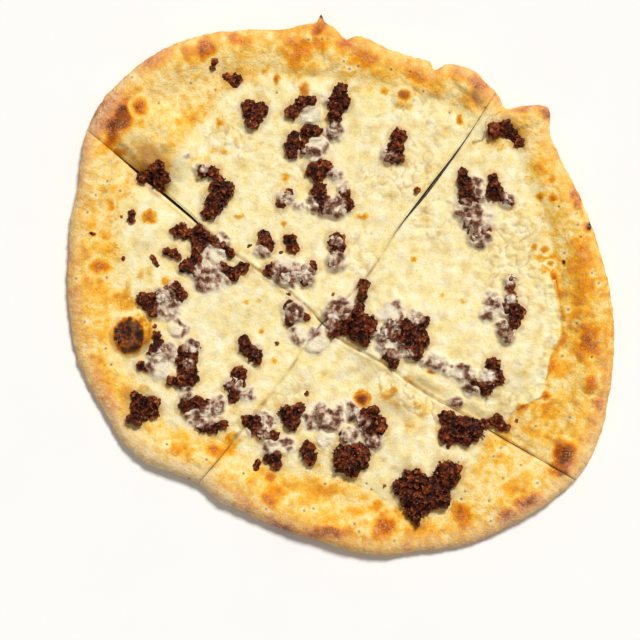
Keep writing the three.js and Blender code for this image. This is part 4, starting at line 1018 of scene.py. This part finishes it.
def crumb_lobes():
    lobes = []
    for x, y, half_long, half_wide, turn in CRUMBS:
        angle = math.radians(turn)
        steps = max(1, round(half_long / half_wide))
        for step in range(steps):
            off = (half_long - half_wide) * (2 * step / (steps - 1) - 1) if steps > 1 else 0
            lobes.append((x + off * math.cos(angle), y + off * math.sin(angle), half_wide, 1.5 * half_wide))
    return lobes


# Finishes

def srgb(code):
    """The linear colour of a six-digit screen colour."""
    parts = [int(code[place:place + 2], 16) / 255 for place in (0, 2, 4)]
    return tuple(c / 12.92 if c <= 0.04045 else ((c + 0.055) / 1.055) ** 2.4 for c in parts) + (1,)


class Shade:
    """A value or colour of a finish. Arithmetic on it adds Math nodes."""

    def __init__(self, finish, socket):
        self.finish, self.socket = finish, socket

    def math(self, operation, *others, **settings):
        return self.finish.node(
            "ShaderNodeMath", {"operation": operation, **settings}, dict(enumerate((self, *others))))

    def __add__(self, other):
        return self.math("ADD", other)

    def __sub__(self, other):
        return self.math("SUBTRACT", other)

    def __mul__(self, other):
        return self.math("MULTIPLY", other)

    def __rsub__(self, other):
        return self.finish.node("ShaderNodeMath", {"operation": "SUBTRACT"}, {0: other, 1: self})

    __radd__, __rmul__ = __add__, __mul__

    def rising(self, low, high):
        """0 below low, 1 above high, smooth between; low may be the larger."""
        return self.finish.node(
            "ShaderNodeMapRange", {"interpolation_type": "SMOOTHSTEP"},
            {"Value": self, "From Min": low, "From Max": high})

    def held(self):
        return self.math("ADD", 0.0, use_clamp=True)


class Finish:
    """A material and its nodes."""

    def __init__(self, name):
        self.material = bpy.data.materials.new(name)
        self.material.use_nodes = True
        self.tree = self.material.node_tree
        self.tree.nodes.clear()
        self.place = self.node("ShaderNodeTexCoord", output="Object")

    def node(self, kind, settings=None, inputs=None, output=0):
        made = self.tree.nodes.new(kind)
        for key, value in (settings or {}).items():
            if key == "stops":
                ramp = made.color_ramp
                while len(ramp.elements) < len(value):
                    ramp.elements.new(0.5)
                for element, (at, colour) in zip(ramp.elements, value):
                    element.position, element.color = at, colour
            else:
                setattr(made, key, value)
        for key, value in (inputs or {}).items():
            if isinstance(value, Shade):
                self.tree.links.new(value.socket, made.inputs[key])
            else:
                made.inputs[key].default_value = value
        return Shade(self, made.outputs[output])

    def mark(self, name):
        return self.node("ShaderNodeAttribute", {"attribute_name": name}, output="Fac")

    def noise(self, size, detail=2, roughness=0.5):
        """Noise, 0 to 1, with lumps of this size in millimetres."""
        return self.node("ShaderNodeTexNoise", {}, {
            "Vector": self.place, "Scale": 1 / (size * MM), "Detail": detail, "Roughness": roughness})

    def cells(self, size):
        """Distance from the middles of cells of this size in millimetres."""
        return self.node("ShaderNodeTexVoronoi", {}, {
            "Vector": self.place, "Scale": 1 / (size * MM)}, output="Distance")

    def ramp(self, value, *stops):
        stops = [(at, srgb(code)) for at, code in stops]
        return self.node("ShaderNodeValToRGB", {"stops": stops}, {0: value})

    def blend(self, share, first, second):
        first, second = (srgb(c) if isinstance(c, str) else c for c in (first, second))
        return self.node(
            "ShaderNodeMix", {"data_type": "RGBA", "clamp_factor": True},
            {0: share, 6: first, 7: second}, output=2)

    def bump(self, height, depth):
        """A relief of this depth in millimetres where the height runs from 0 to 1."""
        return self.node("ShaderNodeBump", {}, {"Strength": 1.0, "Distance": depth * MM, "Height": height})

    def shader(self, inputs):
        surface_shader = self.node("ShaderNodeBsdfPrincipled", {}, inputs)
        end = self.tree.nodes.new("ShaderNodeOutputMaterial")
        self.tree.links.new(surface_shader.socket, end.inputs["Surface"])
        return self.material


def baked_colour(finish, marks):
    """Dough and cheese, each as browned as its marks say, with fat stains and dulled patches that also carry
    painted shade.
    """
    browning, mottle, freckle = marks.browning, marks.mottle, marks.freckle
    dough = finish.ramp(
        browning * 0.7, (0.0, "fff1d0"), (0.1, "fde4a2"), (0.2, "f9c34a"), (0.3, "ef9d16"),
        (0.4, "db7a08"), (0.5, "b45702"), (0.6, "803802"), (0.7, "4a1d04"), (0.82, "260d05"))
    richness = finish.noise(5.5, 3) * 0.75 + freckle * 0.25
    cheese = finish.ramp(
        richness, (0.25, "fff8de"), (0.42, "fdf1c3"), (0.55, "fae7a8"), (0.68, "f3d88a"), (0.85, "e2ba66"))
    gilded = finish.ramp(
        browning * 0.7, (0.12, "fae7a8"), (0.21, "f8cf4c"), (0.31, "eba61a"), (0.44, "c56a06"),
        (0.58, "803802"), (0.7, "4c2009"), (0.82, "260d05"))
    cheese = finish.blend(browning.rising(0.18, 0.46), cheese, gilded)
    colour = finish.blend(marks.melt, dough, cheese)
    # fat stains, mixed with painted shade in creases, round the clumps, in the fold and along the cuts
    colour = finish.blend(marks.stain * (0.35 + 0.5 * mottle), colour, "b5803f")
    # dulled brownish patches, many of them painted shade on slopes turned from the light, in hollows and
    # along cuts
    return finish.blend(marks.dull * (0.4 + 0.6 * mottle), colour, "a48355")


def with_run_cheese(finish, colour, marks):
    """Golden specks in the cheese, and the whiter cheese that has run over what lies below it."""
    melt, mottle, freckle = marks.melt, marks.mottle, marks.freckle
    specks = finish.cells(1.6).rising(0.34, 0.2) * finish.noise(4, 2).rising(0.5, 0.7)
    colour = finish.blend(specks * melt * 0.35, colour, "b98444")
    run = finish.ramp(mottle * 0.6 + freckle * 0.4, (0.32, "cebb9f"), (0.5, "f0e4ca"), (0.62, "fcf5e2"))
    colour = finish.blend(marks.milk.rising(0.1, 1.0) * melt * 0.8, colour, run)
    veil = marks.veiled * (0.94 + (mottle - 0.5) * 1.9 + (freckle - 0.5) * 0.9)
    under_film = finish.ramp(
        veil, (0.06, "f5e8c6"), (0.28, "e6d5bb"), (0.5, "c9ae94"), (0.7, "9c7058"), (0.95, "5f3825"))
    return finish.blend(veil.rising(0.02, 0.3) * melt, colour, under_film)


def with_flour(finish, colour, marks):
    """Flour on the side of the rim, and coarser grains where the dough is browned."""
    drifts = finish.noise(2.2, 3, 0.6).rising(0.36, 0.62)
    dust = finish.noise(0.45, 1).rising(0.3, 0.6)
    powder = (marks.flour * (dust * 0.4 + drifts * 0.6 + 0.1)).held()
    colour = finish.blend(powder * marks.browning.rising(1.1, 0.5), colour, "efcfa6")
    semolina = finish.cells(0.95).rising(0.45, 0.2) * finish.noise(7, 2).rising(0.38, 0.55)
    semolina = semolina * (1 - marks.melt) * (1 - marks.prick) * marks.browning.rising(0.35, 0.6)
    return finish.blend(semolina * 0.42, colour, "efcb98")


def with_inside(finish, colour, marks):
    """Pricks, tears darkened with painted shade, the crumb in the cuts with painted shade lower down, and the
    baked underside.
    """
    colour = finish.blend(marks.prick * 0.85, colour, "6a4422")
    # painted shade in the tears
    colour = finish.blend(marks.tear * 0.7, colour, "6a4a28")
    inner = finish.blend(finish.noise(1.5, 3).rising(0.35, 0.7), "f6dfae", "d6ab68")
    # painted shade: the cut faces darker towards the underside, where the cut closes
    inner = finish.blend(marks.deep.rising(0.05, 0.55), inner, "6b431d")
    colour = finish.blend(marks.crumb, colour, inner)
    facing = finish.node("ShaderNodeNewGeometry", output="True Normal")
    upright = finish.node("ShaderNodeSeparateXYZ", {}, {0: facing}, output="Z")
    baked_under = finish.ramp(
        finish.noise(16, 4, 0.6) * 0.7 + finish.noise(3, 2) * 0.3, (0.3, "f3d9a4"), (0.48, "e2b36a"),
        (0.6, "b87838"), (0.75, "70401c"))
    return finish.blend(upright.rising(-0.7, -0.95), colour, baked_under)


def baked_finish(name):
    """Baked dough that passes into melted cheese, by the marks on the mesh."""
    finish = Finish(name)
    marks = SimpleNamespace(**{mark: finish.mark(mark) for mark in (
        "toast", "melt", "stain", "prick", "flour", "crumb", "deep", "milk", "veiled", "dull", "tear")})
    marks.mottle, marks.freckle = finish.noise(3, 4, 0.6), finish.noise(0.9)
    marks.browning = marks.toast + (marks.mottle - 0.5) * 0.45 + (marks.freckle - 0.5) * 0.26
    colour = baked_colour(finish, marks)
    for layer in (with_run_cheese, with_flour, with_inside):
        colour = layer(finish, colour, marks)
    roughness = 0.72 - 0.34 * marks.melt + 0.2 * marks.flour + (marks.freckle - 0.5) * 0.25
    grain = finish.noise(0.7, 3, 0.6) * 0.5 + finish.cells(1.3) * 0.3 * (1 - marks.melt) + marks.mottle * 0.5
    grain = grain + finish.noise(1.5, 3, 0.6) * (2 * marks.veiled + 0.9 * marks.flour)
    return finish.shader({
        "Base Color": colour, "Roughness": roughness.held(), "Normal": finish.bump(grain, 0.7),
        "Subsurface Weight": 0.12, "Subsurface Radius": (1, 0.6, 0.3), "Subsurface Scale": 0.0015,
        "Specular IOR Level": 0.18})


def sujuk_finish(name):
    """Fried minced meat, with melted cheese run over it in places."""
    finish = Finish(name)
    film, proud, bulge = finish.mark("film"), finish.mark("proud"), finish.mark("bulge")
    mottle, freckle = finish.noise(2.6, 3), finish.noise(0.8, 3, 0.6)
    # painted shade in the crevices and painted light on proud grains and bulges, with tone that varies at
    # random
    tone = proud * 0.4 + bulge * 0.45 + (mottle - 0.5) * 0.5 + (finish.noise(5.5, 2) - 0.5) * 0.9
    tone = tone + (freckle - 0.5) * 0.5 + 0.04
    meat = finish.ramp(
        tone, (0.2, "1a0602"), (0.4, "3d1405"), (0.55, "62250b"), (0.72, "8a3e18"), (0.92, "bf7745"))
    fat = finish.noise(1.1, 1).rising(0.66, 0.74)
    meat = finish.blend(fat * 0.5, meat, "c08a60")
    veil = (film + (freckle - 0.5) * 0.4 * film + (mottle - 0.5) * 1.1 * film).held()
    run = finish.ramp(
        veil, (0.05, "5a2e1a"), (0.25, "7f543f"), (0.45, "a88670"), (0.7, "d6c1ab"), (1.0, "f3e8d2"))
    colour = finish.blend(veil.rising(0.02, 0.25) * 0.97, meat, run)
    grain = freckle * 0.7 + finish.noise(0.4, 1) * 0.3
    return finish.shader({
        "Base Color": colour, "Roughness": (0.38 + (freckle - 0.5) * 0.4 + veil * 0.3).held(),
        "Normal": finish.bump(grain, 0.3), "Subsurface Weight": 0.03,
        "Subsurface Radius": (1.0, 0.5, 0.3), "Subsurface Scale": 0.001,
        "Specular IOR Level": 0.13})


def floor_finish():
    finish = Finish("pale_floor")
    tone = finish.blend(finish.noise(60, 2), "f4f3f1", "f8f7f5")
    return finish.shader({"Base Color": tone, "Roughness": 0.8})


FINISHES = {
    "bread": baked_finish("baked_dough"),
    "cheese": baked_finish("melted_cheese"),
    "sujuk": sujuk_finish("fried_sujuk"),
}


def settle(piece, slot, *nodes):
    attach(piece, "root")
    if nodes:
        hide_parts(*nodes)


for clump in CLUMPS:
    settle(sujuk_piece(f"{clump}_sujuk", clump_lobes(clump)), "sujuk", f"sujuk_{clump}")
settle(sujuk_piece("loose_sujuk_crumbs", crumb_lobes()), "sujuk")
for slice_name in SLICES:
    settle(bread_slice(slice_name), "bread", f"bread_{slice_name}")
    settle(cheese_slice(slice_name), "cheese", f"cheese_{slice_name}")


# Floor, light and camera

FLOOR_HALF_SIZE = 3
SUN_FROM, SUN_STRENGTH, SUN_WIDTH = (0.24, 0.48, 0.88), 2.8, 13
STUDIO_COLOUR, STUDIO_STRENGTH = (1, 0.97, 0.93, 1), 0.31
AIM, CAMERA_ELEVATION, CAMERA_DISTANCE = (-11, -17, 5), 89, 2.0
LENS, SENSOR = 212.3, 36


def lay_floor():
    bm = bmesh.new()
    bmesh.ops.create_grid(bm, x_segments=8, y_segments=8, size=FLOOR_HALF_SIZE)
    floor = new_piece("pale_floor", mesh_of(bm, "pale_floor"), floor_finish())


def hang_lights():
    key = add_object("key_light", bpy.data.lights.new("key_light", "SUN"))
    key.data.energy, key.data.angle = SUN_STRENGTH, math.radians(SUN_WIDTH)
    key.rotation_euler = Vector(SUN_FROM).to_track_quat("Z", "Y").to_euler()
    world = bpy.data.worlds.new("studio")
    world.use_nodes = True
    backdrop = world.node_tree.nodes["Background"]
    backdrop.inputs["Color"].default_value = STUDIO_COLOUR
    backdrop.inputs["Strength"].default_value = STUDIO_STRENGTH
    bpy.context.scene.world = world
    bpy.context.scene.view_settings.view_transform = "Standard"


def set_camera():
    aim = Vector(AIM) * MM
    elevation = math.radians(CAMERA_ELEVATION)
    back = Vector((0, -math.cos(elevation), math.sin(elevation)))
    camera = add_object("camera", bpy.data.cameras.new("camera"))
    camera.data.lens, camera.data.sensor_width = LENS, SENSOR
    camera.location = aim + back * CAMERA_DISTANCE
    camera.rotation_euler = (-back).to_track_quat("-Z", "Y").to_euler()
    bpy.context.scene.camera = camera


lay_floor()
hang_lights()
set_camera()
